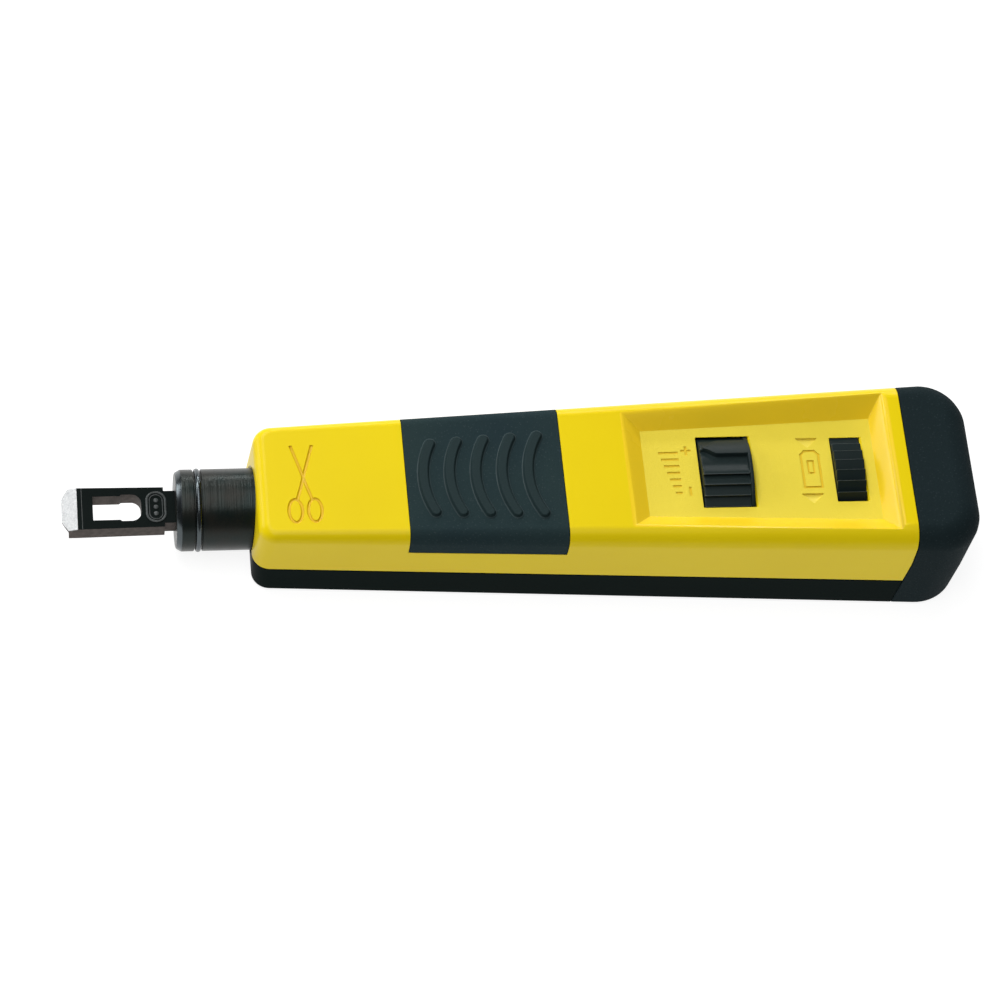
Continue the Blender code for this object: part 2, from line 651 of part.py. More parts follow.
def make_dial(black, spring_steel, steel):
    dial = turned("impact_dial", [(79.8, 4.6), (79.8, 7.0), (88.9, 7.0), (88.9, 4.6)], 40, AXIS_FRAME, black)
    marks = [-43.0]
    for step in range(RIDGES, 0, -1):
        marks += [RIDGE_TOP - RIDGE_PITCH * step + 0.01, RIDGE_TOP - RIDGE_PITCH * (step - 1) - 0.01]
    for start, end, count in ((RIDGE_TOP + 0.01, HOLLOW_TOP - 0.01, 5), (HOLLOW_TOP + 0.01, 80.0, 10)):
        marks += [start + (end - start) * k / count for k in range(count + 1)]
    loops = []
    for x in (79.75, 88.1):
        outer = [(x, dial_radius(a) * math.sin(math.radians(a)), dial_radius(a) * math.cos(math.radians(a)))
                 for a in marks]
        inner = [(x, 6.2 * math.sin(math.radians(a)), 6.2 * math.cos(math.radians(a)))
                 for a in reversed(marks[::3] + [marks[-1]])]
        loops.append(outer + inner)
    carve(dial, loft("dial_sector", loops, AXIS_FRAME), "UNION")
    cheek = loft("dial_cheek", [sector_loop(x, 6.4, lambda a: DIAL_R, -42.8, 79.8, 24) for x in (87.9, 88.95)],
                 AXIS_FRAME)
    carve(dial, cheek, "UNION")
    smooth(dial, 12.0)
    follower = turned("spring_follower", [
        (69.6, 1.5), (69.6, 4.0), (72.0, 4.0), (72.0, 6.4), (74.2, 6.4), (74.2, 4.3), (86.0, 4.3),
        (86.0, 1.5)], 40, AXIS_FRAME, steel)
    for sign in (-1.0, 1.0):
        ys = sorted((sign * 5.8, sign * 8.4))
        carve(follower, box("key", (72.2, 74.0), ys, (-2.0, 1.3), AXIS_FRAME), "UNION")
    smooth(follower)
    strip = []
    for side in (0.0, -0.3):
        for k in range(17):
            y = -6.5 + 13.0 * k / 16
            rise = 0.5 * math.exp(-(y / 1.2) ** 2)
            strip.append((y, -7.75 + rise + side))
        if side == 0.0:
            strip.reverse()
    loops = [[(x, y, z) for y, z in strip] for x in (81.5, 87.2)]
    smooth(loft("dial_detent_spring", loops, AXIS_FRAME, spring_steel))
    thrust = box("thrust_plate", (89.5, 91.3), (-13.2, 13.2), (-7.6, 6.4), AXIS_FRAME, steel)
    carve(thrust, turned("thrust_bore", [(88.0, 0.0), (88.0, 1.5), (93.0, 1.5), (93.0, 0.0)], 24, AXIS_FRAME))
    smooth(thrust)


WHEEL_R = 10.85
WHEEL_TOOTH = 11.15
WHEEL_TEETH = 10
WHEEL_FIRST = -61.75


def make_release_wheel(black, spring_steel, steel):
    wheel = turned("release_wheel", [(103.5, 0.0), (103.5, 4.0), (112.0, 4.0), (112.0, 0.0)], 40,
                   AXIS_FRAME, black)
    outer = []
    for tooth in range(WHEEL_TEETH):
        base = WHEEL_FIRST + WHEEL_TOOTH * tooth
        for angle, radius in ((base, WHEEL_R - 0.75), (base + WHEEL_TOOTH - 0.05, WHEEL_R)):
            outer.append((radius * math.sin(math.radians(angle)), radius * math.cos(math.radians(angle))))
    inner = [(3.4 * math.sin(math.radians(a)), 3.4 * math.cos(math.radians(a)))
             for a in (49.0, 34.0, 17.0, 0.0, -20.0, -41.0, -61.0)]
    loops = [[(x, y, z) for y, z in outer + inner] for x in (104.15, 109.45)]
    carve(wheel, loft("wheel_sector", loops, AXIS_FRAME), "UNION")
    corner = 1.2 / math.cos(math.pi / 6)
    hexagon = [(corner * math.cos(math.pi * k / 3), corner * math.sin(math.pi * k / 3)) for k in range(6)]
    carve(wheel, loft("hub_hex", [[(x, y, z) for y, z in hexagon] for x in (102.0, 114.0)], AXIS_FRAME))
    smooth(wheel, 12.0)
    coil("wheel_return_spring", (94.8, 103.1), 2.5, 0.3, 6.0, AXIS_FRAME, spring_steel, 6, 12)


def main():
    for thing in list(bpy.data.objects):
        bpy.data.objects.remove(thing, do_unlink=True)
    yellow = material("yellow_plastic", (0.86, 0.63, 0.012), 0.35)
    black = material("black_plastic", (0.012, 0.016, 0.016), 0.4)
    rubber = material("grip_rubber", (0.022, 0.033, 0.034), 0.7)
    cap_rubber = material("cap_rubber", (0.024, 0.034, 0.037), 0.65)
    wheel_black = material("wheel_plastic", (0.03, 0.038, 0.042), 0.5)
    steel_black = material("black_oxide_steel", (0.03, 0.034, 0.033), 0.35, 0.9)
    steel = material("machined_steel", (0.45, 0.45, 0.46), 0.32, 1.0)
    bright = material("bright_steel", (0.62, 0.62, 0.63), 0.22, 1.0)
    spring_steel = material("spring_steel", (0.36, 0.37, 0.39), 0.28, 1.0)
    brass = material("brass", (0.62, 0.45, 0.18), 0.3, 1.0)
    make_casing(yellow, black)
    make_grip_pad(rubber)
    make_end_cap(cap_rubber)
    make_screws(steel)
    make_barrel(steel_black, bright)
    make_blade(steel_black)
    make_lock_and_rod(bright, brass)
    make_hammer(steel, bright, spring_steel)
    make_dial(wheel_black, spring_steel, steel)
    make_release_wheel(wheel_black, spring_steel, steel)
    bpy.context.view_layer.update()


main()
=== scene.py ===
"""Looks of the impact punch down tool: finer shells, pad, cap, chuck, blade, wheels and springs
around the CAD frame, with procedural materials, a pale floor, soft light and the camera.

Lengths are in millimetres from the nose, as in the CAD, and become metres in solid(). Material
settings, the floor, the lights and the camera are in metres.
"""

import math

import bmesh
import bpy
from mathutils import Matrix, Vector


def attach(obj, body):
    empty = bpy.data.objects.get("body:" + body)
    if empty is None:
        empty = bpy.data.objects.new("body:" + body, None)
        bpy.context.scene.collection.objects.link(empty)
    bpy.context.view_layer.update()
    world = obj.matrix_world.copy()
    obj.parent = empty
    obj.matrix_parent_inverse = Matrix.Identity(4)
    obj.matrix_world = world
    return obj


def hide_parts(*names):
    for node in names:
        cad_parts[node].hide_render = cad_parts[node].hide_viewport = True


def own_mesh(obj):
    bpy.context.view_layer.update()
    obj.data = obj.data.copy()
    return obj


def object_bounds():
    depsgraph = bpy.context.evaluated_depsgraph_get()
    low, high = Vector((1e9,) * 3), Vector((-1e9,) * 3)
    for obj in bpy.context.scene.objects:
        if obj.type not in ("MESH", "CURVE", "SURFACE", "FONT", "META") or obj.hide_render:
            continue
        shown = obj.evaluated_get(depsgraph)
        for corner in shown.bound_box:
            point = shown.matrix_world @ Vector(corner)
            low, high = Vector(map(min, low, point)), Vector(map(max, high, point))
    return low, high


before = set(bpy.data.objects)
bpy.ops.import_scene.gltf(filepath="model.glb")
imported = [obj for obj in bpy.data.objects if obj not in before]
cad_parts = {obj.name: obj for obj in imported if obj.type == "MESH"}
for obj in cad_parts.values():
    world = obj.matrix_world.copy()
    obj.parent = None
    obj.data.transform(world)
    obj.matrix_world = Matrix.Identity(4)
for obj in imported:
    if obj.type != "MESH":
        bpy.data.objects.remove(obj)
CAD_LOW, CAD_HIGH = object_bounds()

MM = 0.001
CORNERS = ((-1.0, -1.0), (1.0, -1.0), (1.0, 1.0), (-1.0, 1.0))

# Casing, as in the CAD
TIP_X = -34.2
TAIL_X = TIP_X + (CAD_HIGH.x - CAD_LOW.x) / MM
NOSE_FACE_X = -0.85
NOSE_HALF_WIDTH = 11.75
SIDE_SLOPE = 0.0445
NOSE_TOP = 17.85
TOP_SLOPE = 0.0398
PARTING = 7.15
PARTING_SLOPE = 0.0081
PARTING_GAP = 0.12
TOP_FILLET = 1.9
TAIL_ROUND_X = 113.0
BOTTOM_FILLET = 0.7
NOSE_CORNER = 3.2
TAIL_CORNER = 8.0
TAIL_CROWN = 0.8
WALL = 1.8
BOTTOM_WALL = 1.3
CAP_X = 117.15
CAP_GAP = 0.12
CAP_WALL = 2.6
SPIGOT_END = 122.0

# Tool axis, along which the chuck slides and the two wheels turn
AXIS_Z = 8.4
AXIS_TILT = math.atan(0.02)
BARREL_BORE = 7.45
PLUNGER_STROKE = 8.0
LATCH_STROKE = 1.15

# Panel recess
FLOOR_Z = 17.59
FLOOR_SLOPE = 0.016
FLOOR_WALL = 1.6
FLOOR_X = (69.35, 111.6)
FLOOR_HALF = (8.9, 10.6)
RIM_X = (66.2, 114.05)
RIM_HALF = (11.8, 14.6)
RIM_FILLET = 2.0
DIAL_WINDOW = (79.5, 89.15)
DIAL_WINDOW_R = 11.5
WHEEL_WINDOW = (104.0, 109.6)
WHEEL_WINDOW_R = 11.0

# Grip pad
PAD_X = (26.2, 54.5)
PAD_LOW_Z = 14.05
PAD_THICK = 1.15
PAD_GAP = 0.1
RIB_COUNT = 5
RIB_FIRST_X = 29.4
RIB_PITCH = 4.69
RIB_RADIUS = 16.0
RIB_MIDDLE_Y = -0.55
RIB_HALF_WIDTH = 1.0
RIB_HEIGHT = 0.62
RIB_FOOT = 0.12
RIB_HALF = (8.05, 9.0)

SCREW_SPOTS = {
    "casing_screw_nose_left": (9.0, 9.6),
    "casing_screw_nose_right": (9.0, -9.6),
    "casing_screw_tail_left": (97.0, 12.6),
    "casing_screw_tail_right": (97.0, -12.6),
}
SCREW_HEAD_R = 1.7
SCREW_SHANK_R = 0.9
SCREW_SEAT_Z = 2.2

# Blade
BLADE_HALF = 4.07
BLADE_TIP_HALF = 4.28
BLADE_THICK = 2.93
BLADE_SHOULDER_X = -16.1
LIP_LENGTH = 1.15
CREASE_X = -30.65
SLOT_END_X = -20.13
SLOT_CORNER = 1.75
SLOT_HALF = 2.45
SLOT_WIDE_HALF = 2.72
OVAL_X = -17.5
OVAL_HALF = (1.85, 3.2)
SHANK_HALF = 3.3
SHANK_NECK_HALF = 2.9
SHANK_END_X = 7.0

CASE_FRAME = Matrix.Translation(Vector((CAD_LOW.x - TIP_X * MM, 0.0, 0.0)))
AXIS_FRAME = (
    CASE_FRAME
    @ Matrix.Translation((0.0, 0.0, AXIS_Z * MM))
    @ Matrix.Rotation(-AXIS_TILT, 4, "Y")
)


# Materials

SPECKS_PER_METRE = 1700.0
STREAK_SCALE = (3200.0, 70.0, 70.0)


def add_node(tree, kind, feeds):
    """A new shader node, each input fed by a value or by another node's output."""
    made = tree.nodes.new(kind)
    if kind == "ShaderNodeMix":
        made.data_type = "RGBA"
    for key, value in feeds.items():
        if isinstance(value, bpy.types.NodeSocket):
            tree.links.new(value, made.inputs[key])
        else:
            made.inputs[key].default_value = value
    return made


def add_bump(tree, normal, place, scale, detail, distance):
    """The normal, roughened by noise of a given depth in metres."""
    noise = add_node(tree, "ShaderNodeTexNoise", {"Vector": place, "Scale": scale, "Detail": detail})
    bump = add_node(tree, "ShaderNodeBump", {
        "Distance": distance, "Height": noise.outputs["Fac"], "Normal": normal})
    return bump.outputs["Normal"]


def paint(name, colour, roughness, metallic=0.0, specular=0.5, grain=0.0, grain_size=0.0004,
          tint=None, tint_size=0.02, gloss_change=0.05, edge=0.0001, streaks=0.0, speck=None):
    """A Principled material with fine bump, slow colour and gloss variation and softened edges.

    grain is the bump's depth in metres, streaks the depth of turning marks across the local
    x axis, tint a second colour that clouds the first, and speck a colour of sparse dots."""
    made = bpy.data.materials.new(name)
    made.use_nodes = True
    made.diffuse_color = (*colour, 1.0)
    tree = made.node_tree
    shader = tree.nodes["Principled BSDF"]
    shader.inputs["Base Color"].default_value = (*colour, 1.0)
    shader.inputs["Metallic"].default_value = metallic
    shader.inputs["Specular IOR Level"].default_value = specular
    place = tree.nodes.new("ShaderNodeTexCoord").outputs["Object"]
    cloud = add_node(tree, "ShaderNodeTexNoise", {"Vector": place, "Scale": 1.0 / tint_size, "Detail": 4.0})
    gloss = add_node(tree, "ShaderNodeMapRange", {
        "Value": cloud.outputs["Fac"], "From Min": 0.3, "From Max": 0.7,
        "To Min": roughness - gloss_change, "To Max": roughness + gloss_change})
    tree.links.new(gloss.outputs["Result"], shader.inputs["Roughness"])

    if tint:
        spread = add_node(tree, "ShaderNodeMapRange", {
            "Value": cloud.outputs["Fac"], "From Min": 0.35, "From Max": 0.7})
        tone = add_node(tree, "ShaderNodeMix", {
            "Factor": spread.outputs["Result"], "A": (*colour, 1.0), "B": (*tint, 1.0)}).outputs["Result"]
        if speck:
            dots = add_node(tree, "ShaderNodeTexVoronoi", {"Vector": place, "Scale": SPECKS_PER_METRE})
            near = add_node(tree, "ShaderNodeMapRange", {
                "Value": dots.outputs["Distance"], "From Min": 0.26, "From Max": 0.05, "To Max": 0.42})
            tone = add_node(tree, "ShaderNodeMix", {
                "Factor": near.outputs["Result"], "A": tone, "B": (*speck, 1.0)}).outputs["Result"]
        tree.links.new(tone, shader.inputs["Base Color"])

    soft = add_node(tree, "ShaderNodeBevel", {"Radius": edge})
    soft.samples = 4
    normal = soft.outputs["Normal"]
    if grain:
        normal = add_bump(tree, normal, place, 1.0 / grain_size, 3.0, grain)
    if streaks:
        stretch = add_node(tree, "ShaderNodeMapping", {"Vector": place, "Scale": STREAK_SCALE})
        normal = add_bump(tree, normal, stretch.outputs["Vector"], 1.0, 5.0, streaks)
    tree.links.new(normal, shader.inputs["Normal"])
    return made


def make_materials():
    return {
        "yellow": paint("yellow_plastic", (0.84, 0.64, 0.004), 0.3, specular=0.14, gloss_change=0.02,
            grain=0.000012, grain_size=0.0007, tint=(0.82, 0.612, 0.003), edge=0.00015),
        # Recess walls: a warmer, more orange copy of the yellow, which is painted shade for the walls'
        # shaded golden tone
        "wall": paint("wall_painted_shade_plastic", (0.91, 0.64, 0.02), 0.24, specular=0.3, grain=0.000012,
            tint=(0.915, 0.632, 0.017), edge=0.00015),
        # Panel floor: rougher and grainier than the top, and its paler, bluer colour is a painted sheen
        "panel": paint("panel_plastic_painted_sheen", (0.85, 0.685, 0.055), 0.5, specular=0.2, grain=0.00007,
            grain_size=0.0003, tint=(0.81, 0.65, 0.048), edge=0.00012),
        # Sunk marks: a darker, more orange colour, which is painted shade in the engraving
        "mark": paint("mark_painted_shade_plastic", (0.79, 0.55, 0.02), 0.5, specular=0.25, grain=0.00003,
            grain_size=0.0003, tint=(0.75, 0.52, 0.018)),
        # Sunk triangles: paler than the panel, which is painted light on their sloping floors
        "arrow": paint("arrow_painted_light_plastic", (0.86, 0.7, 0.085), 0.5, specular=0.25, grain=0.00003,
            grain_size=0.0003, tint=(0.83, 0.67, 0.07)),
        # Nose engraving: a darker, more orange colour, which is painted shade in the grooves
        "groove": paint("groove_painted_shade_plastic", (0.78, 0.5, 0.004), 0.4, specular=0.35, grain=0.00001,
            tint=(0.72, 0.46, 0.004), edge=0.00012),
        "black": paint("black_plastic", (0.003, 0.0078, 0.0068), 0.42, specular=0.01, grain=0.00001,
            grain_size=0.0006, tint=(0.0038, 0.009, 0.008), edge=0.00015),
        "grip": paint("grip_rubber", (0.021, 0.0385, 0.04), 0.7, specular=0.03, grain=0.00007,
            grain_size=0.0003, tint=(0.017, 0.032, 0.037), edge=0.0002, speck=(0.06, 0.08, 0.085)),
        "rib": paint("rib_rubber", (0.015, 0.0295, 0.031), 0.6, specular=0.08, grain=0.00005,
            grain_size=0.0003, tint=(0.017, 0.032, 0.034)),
        # Paler band round each grip rib's foot: a painted highlight on the rib's sides
        "painted_rib_highlight": paint("rib_highlight_rubber", (0.04, 0.062, 0.066), 0.55, specular=0.15, grain=0.00003,
            tint=(0.026, 0.043, 0.046), tint_size=0.004),
        "cap": paint("cap_rubber", (0.0115, 0.0205, 0.023), 0.7, specular=0.03, grain=0.00007,
            grain_size=0.0003, tint=(0.013, 0.0225, 0.0255), edge=0.0002, speck=(0.045, 0.062, 0.068)),
        "wheel": paint("wheel_plastic", (0.0105, 0.019, 0.019), 0.42, specular=0.13, grain=0.00002,
            grain_size=0.0003, tint=(0.0125, 0.0215, 0.0215), edge=0.00012),
        # Paler, glossier crest faces of the dial ridges and wheel teeth: painted highlights on the crests
        "painted_crest_highlight": paint("wheel_highlight_plastic", (0.04, 0.055, 0.056), 0.35, specular=0.4, grain=0.00001,
            tint=(0.03, 0.042, 0.043), tint_size=0.003, edge=0.00006),
        "oxide": paint("black_oxide_steel", (0.01, 0.018, 0.0165), 0.33, metallic=0.5, specular=0.3,
            grain=0.000006, tint=(0.021, 0.0195, 0.016), tint_size=0.005, streaks=0.00005),
        "ring": paint("polished_oxide_steel", (0.08, 0.094, 0.099), 0.28, metallic=1.0,
            tint=(0.08, 0.09, 0.1), tint_size=0.004),
        "blade": paint("blade_oxide", (0.003, 0.006, 0.0055), 0.5, specular=0.03, grain=0.00001,
            grain_size=0.0002, tint=(0.005, 0.008, 0.0075), tint_size=0.003),
        # Paler grey for the blade's oval crowns, pips and crease: painted highlights on them
        "painted_crown_highlight": paint("painted_highlight_oxide", (0.05, 0.058, 0.058), 0.4, specular=0.3, grain=0.00001,
            grain_size=0.0002, tint=(0.02, 0.025, 0.024), tint_size=0.001, edge=0.00008),
        "sheared": paint("sheared_steel", (0.072, 0.058, 0.05), 0.55, metallic=0.7, grain=0.00003,
            grain_size=0.0002, tint=(0.05, 0.041, 0.036), tint_size=0.001),
        "ground": paint("ground_steel", (0.6, 0.61, 0.61), 0.55, metallic=0.5, specular=0.4, grain=0.00003,
            grain_size=0.0001, tint=(0.46, 0.47, 0.48), tint_size=0.0003, edge=0.00008),
        "bright": paint("bright_steel", (0.42, 0.43, 0.44), 0.22, metallic=1.0, streaks=0.000004,
            tint=(0.36, 0.37, 0.38)),
        "machined": paint("machined_steel", (0.42, 0.42, 0.43), 0.34, metallic=1.0, streaks=0.000012,
            tint=(0.36, 0.36, 0.37)),
        "spring": paint("spring_steel", (0.36, 0.37, 0.39), 0.3, metallic=1.0, grain=0.000004,
            tint=(0.28, 0.29, 0.31), edge=0.00005),
        "brass": paint("machined_brass", (0.6, 0.42, 0.15), 0.3, metallic=1.0, streaks=0.00001,
            tint=(0.52, 0.35, 0.12)),
    }


# Mesh building

def add_object(name, data):
    made = bpy.data.objects.new(name, data)
    bpy.context.scene.collection.objects.link(made)
    return made


def ring_faces(rows, steps, bands):
    """Quads that join each of the first bands rings to the next, the last one to the first."""
    faces = []
    for row in range(bands):
        after = (row + 1) % rows
        for i in range(steps):
            j = (i + 1) % steps
            faces.append((row * steps + i, row * steps + j, after * steps + j, after * steps + i))
    return faces


def circle(x, y, radius, steps):
    """Plan points round a centre."""
    turns = [2.0 * math.pi * i / steps for i in range(steps)]
    return [(x + radius * math.cos(turn), y + radius * math.sin(turn)) for turn in turns]


def round_axis(x, radius, degrees):
    """The point at a radius and an angle from straight up, round the local x axis."""
    turn = math.radians(degrees)
    return x, radius * math.sin(turn), radius * math.cos(turn)


def shade_all(target, shade):
    target.data.materials.clear()
    target.data.materials.append(shade)


def shade_faces(target, shade, test):
    """Give a shade to the faces whose normal and middle, in millimetres, pass a test."""
    target.data.materials.append(shade)
    for face in target.data.polygons:
        if test(face.normal, *(face.center / MM)):
            face.material_index = len(target.data.materials) - 1


def solid(name, points, faces, place, shade=None):
    """A closed mesh object from millimetre points in the given frame."""
    mesh = bpy.data.meshes.new(name)
    mesh.from_pydata([tuple(c * MM for c in p) for p in points], [], faces)
    edit = bmesh.new()
    edit.from_mesh(mesh)
    bmesh.ops.recalc_face_normals(edit, faces=edit.faces)
    edit.to_mesh(mesh)
    edit.free()
    made = add_object(name, mesh)
    made.matrix_world = place
    if shade:
        mesh.materials.append(shade)
    return made


def carve(target, cutter, operation="DIFFERENCE", keep_shade=False):
    """Cut, join or intersect the target with a helper, which is then removed."""
    step = target.modifiers.new("carve", "BOOLEAN")
    step.operation = operation
    step.solver = "EXACT"
    step.material_mode = "TRANSFER" if keep_shade else "INDEX"
    step.object = cutter
    bpy.context.view_layer.update()
    graph = bpy.context.evaluated_depsgraph_get()
    shape = bpy.data.meshes.new_from_object(target.evaluated_get(graph))
    target.modifiers.clear()
    target.data = shape
    bpy.data.objects.remove(cutter)


def loft(name, loops, place, shade=None):
    """Close a stack of equal-length loops into one solid with flat ends."""
    count = len(loops[0])
    points = [p for loop in loops for p in loop]
    faces = [tuple(range(count))]
    for row in range(len(loops) - 1):
        for i in range(count):
            a = row * count + i
            b = row * count + (i + 1) % count
            faces.append((a, b, b + count, a + count))
    faces.append(tuple(range((len(loops) - 1) * count, len(loops) * count)))
    return solid(name, points, faces, place, shade)


def box(name, xs, ys, zs, place, shade=None):
    loops = [[(x, ys[0], zs[0]), (x, ys[1], zs[0]), (x, ys[1], zs[1]), (x, ys[0], zs[1])]
             for x in xs]
    return loft(name, loops, place, shade)


def turned(name, profile, steps, place, shade=None):
    """Revolve (x, r) points about the local x axis. A profile that starts and ends at
    r = 0 makes a full body, and any other profile closes on itself as a ring."""
    full = profile[0][1] == 0.0
    rows = profile[1:-1] if full else profile
    turns = [2.0 * math.pi * i / steps for i in range(steps)]
    points = [(x, r * math.sin(turn), r * math.cos(turn)) for x, r in rows for turn in turns]
    faces = ring_faces(len(rows), steps, len(rows) - 1 if full else len(rows))
    if full:
        for row, x in ((0, profile[0][0]), (len(rows) - 1, profile[-1][0])):
            if abs(rows[row][0] - x) < 1e-9:
                faces.append(tuple(row * steps + i for i in range(steps)))
                continue
            points.append((x, 0.0, 0.0))
            for i in range(steps):
                faces.append((row * steps + i, row * steps + (i + 1) % steps, len(points) - 1))
    return solid(name, points, faces, place, shade)


def rod_z(name, x, y, zs, radius, steps=32):
    return loft(name, [[(a, b, z) for a, b in circle(x, y, radius, steps)] for z in zs], CASE_FRAME)


def smooth(target, angle):
    """Smooth shading with crisp corners, its normals led by the larger faces."""
    target.data.shade_smooth()
    target.data.set_sharp_from_angle(angle=math.radians(angle))
    normals = target.modifiers.new("face_normals", "WEIGHTED_NORMAL")
    normals.keep_sharp = True
    normals.weight = 80


def stand_for(piece, body, node):
    """Ride on a body and replace a CAD node, which is hidden."""
    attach(piece, body)
    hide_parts(node)


# Casing surfaces

def half_width(x):
    return NOSE_HALF_WIDTH + SIDE_SLOPE * x


def top_height(x):
    return NOSE_TOP + TOP_SLOPE * x


def parting_height(x):
    return PARTING + PARTING_SLOPE * x


def top_fillet(x):
    """The top edge's radius, which grows towards the tail and most of all over the cap."""
    return TOP_FILLET + 0.0075 * max(0.0, x) + 0.13 * max(0.0, x - TAIL_ROUND_X)


def floor_height(x):
    return FLOOR_Z + FLOOR_SLOPE * x


def front_x(z):
    return NOSE_FACE_X + 0.09 * max(0.0, z - 10.0) + 0.08 * max(0.0, 5.0 - z)


def back_x(z):
    return TAIL_X + TAIL_CROWN - 0.09 * max(0.0, 14.0 - z)


def outline(front, back, inset, corner_front, corner_back, steps, share):
    """The casing seen from above, inset by a distance, as a counter-clockwise loop.

    share moves each point in by that part of the top fillet's radius there, and each point
    carries the x it started from."""
    lean = math.atan(SIDE_SLOPE)
    stretch = math.sqrt(1.0 + SIDE_SLOPE ** 2)
    side = []
    for x, corner, first, last, sign in (
        (front + inset, corner_front, math.pi, 0.5 * math.pi + lean, 1.0),
        (back - inset, corner_back, 0.5 * math.pi + lean, 0.0, -1.0),
    ):
        cx = x + sign * corner
        cy = half_width(cx) - (inset + corner) * stretch
        for i in range(steps + 1):
            turn = first + (last - first) * i / steps
            start = cx + corner * math.cos(turn)
            reach = max(corner - share * top_fillet(start), 0.1 * corner)
            side.append((cx + reach * math.cos(turn), cy + reach * math.sin(turn), start))
    mirrored = [(x, -y, start) for x, y, start in reversed(side)]
    return mirrored + side


def envelope(name, inset, low, high, front=None, back=None, corner=None, fine=True):
    """The rounded outer form, inset all round, from height low up to the top less high."""
    rows, steps = (8, 16) if fine else (4, 7)
    levels = []
    for i in range(rows):
        turn = 0.5 * math.pi * i / (rows - 1)
        z = low + BOTTOM_FILLET * (1 - math.cos(turn))
        levels.append((lambda x, start, z=z: z, BOTTOM_FILLET * (1 - math.sin(turn)), 0.0))
    levels.append((lambda x, start: parting_height(x), 0.0, 0.0))
    fillet = top_fillet if corner is None else (lambda x: TOP_FILLET)
    for i in range(rows + 1):
        turn = 0.5 * math.pi * i / rows
        drop, pull = 1 - math.sin(turn), 1 - math.cos(turn)
        levels.append((lambda x, start, drop=drop: top_height(x) - (high + drop * fillet(start)),
                       0.0 if corner is None else TOP_FILLET * pull, pull if corner is None else 0.0))
    loops = []
    for height, pull, share in levels:
        first = front_x(height(0.0, 0.0)) if front is None else front - inset
        last = back_x(height(TAIL_X, TAIL_X)) if back is None else back + inset
        nose_corner = max(NOSE_CORNER - inset - pull, 0.8) if corner is None else corner
        tail_corner = max(TAIL_CORNER - inset - pull, 0.8) if corner is None else corner
        loop = outline(first, last, inset + pull, nose_corner, tail_corner, steps, share)
        loops.append([(x, y, height(x, start)) for x, y, start in loop])
    return loft(name, loops, CASE_FRAME)


def wedge(name, xs, half, low, high):
    """A block whose lower and upper faces follow two slanted planes."""
    loops = [[(x, -half, low(x)), (x, half, low(x)), (x, half, high(x)), (x, -half, high(x))] for x in xs]
    return loft(name, loops, CASE_FRAME)


def bore(start, end, radius, steps):
    """A round cutter along the tool axis."""
    profile = [(start, 0.0), (start, radius), (end, radius), (end, 0.0)]
    return turned("bore", profile, steps, AXIS_FRAME)


def half_drum(name, xs, radius, steps=72):
    """The upper half of a drum on the tool axis."""
    turns = [math.pi * i / steps for i in range(steps + 1)]
    loops = [[(x, radius * math.cos(turn), radius * math.sin(turn)) for turn in turns] for x in xs]
    return loft(name, loops, AXIS_FRAME)


def cap_plane_x(z):
    return CAP_X - 0.09 * max(0.0, 14.0 - z)


def cap_side(name, offset, far):
    """Everything from the cap joint, shifted by an offset, to a far x."""
    loops = []
    for y in (-40.0, 40.0):
        loops.append([
            (far, y, -20.0), (cap_plane_x(-20.0) + offset, y, -20.0),
            (cap_plane_x(14.0) + offset, y, 14.0), (CAP_X + offset, y, 50.0), (far, y, 50.0),
        ])
    return loft(name, loops, CASE_FRAME)


def rim_offset(depth, slope, radius=RIM_FILLET):
    """How far outside the sharp rim line a rounded rim passes, at a depth below the top face."""
    if depth >= radius * (1.0 - math.cos(slope)):
        return -depth / math.tan(slope)
    turn = math.acos(1.0 - depth / radius)
    return radius * math.tan(0.5 * slope) - radius * math.sin(turn)


def recess_cutter(shade):
    """The panel recess: a flat floor, sloping walls and a rounded rim."""
    corners = []
    for end, sign in ((0, -1), (1, -1), (1, 1), (0, 1)):
        base = floor_height(FLOOR_X[end])
        rise = top_height(RIM_X[end]) - base
        out = 1.0 if end else -1.0
        slope_x = math.atan2(rise, abs(RIM_X[end] - FLOOR_X[end]))
        slope_y = math.atan2(rise, RIM_HALF[end] - FLOOR_HALF[end])
        corners.append((end, sign, base, out, slope_x, slope_y))
    loops = [[(FLOOR_X[end], sign * FLOOR_HALF[end], base) for end, sign, base, *_ in corners]]
    turns = [math.radians(a) for a in (46.0, 38.0, 30.0, 22.0, 14.0, 6.0)]
    depths = [RIM_FILLET * (1.0 - math.cos(turn)) for turn in turns]
    overrun = (depths[-1] + 0.06) / math.tan(turns[-1])
    for depth, extra in [(d, 0.0) for d in depths] + [(-0.06, overrun)]:
        loop = []
        for end, sign, base, out, slope_x, slope_y in corners:
            at = max(depth, depths[-1])
            x = RIM_X[end] + out * (rim_offset(at, slope_x) + extra)
            y = RIM_HALF[end] + rim_offset(at, slope_y) + extra
            loop.append((x, sign * y, top_height(x) - depth))
        loops.append(loop)
    cutter = loft("recess_cutter", loops, CASE_FRAME, shade)
    edit = bmesh.new()
    edit.from_mesh(cutter.data)
    bmesh.ops.triangulate(edit, faces=[f for f in edit.faces if len(f.verts) == 4])
    edit.to_mesh(cutter.data)
    edit.free()
    return cutter


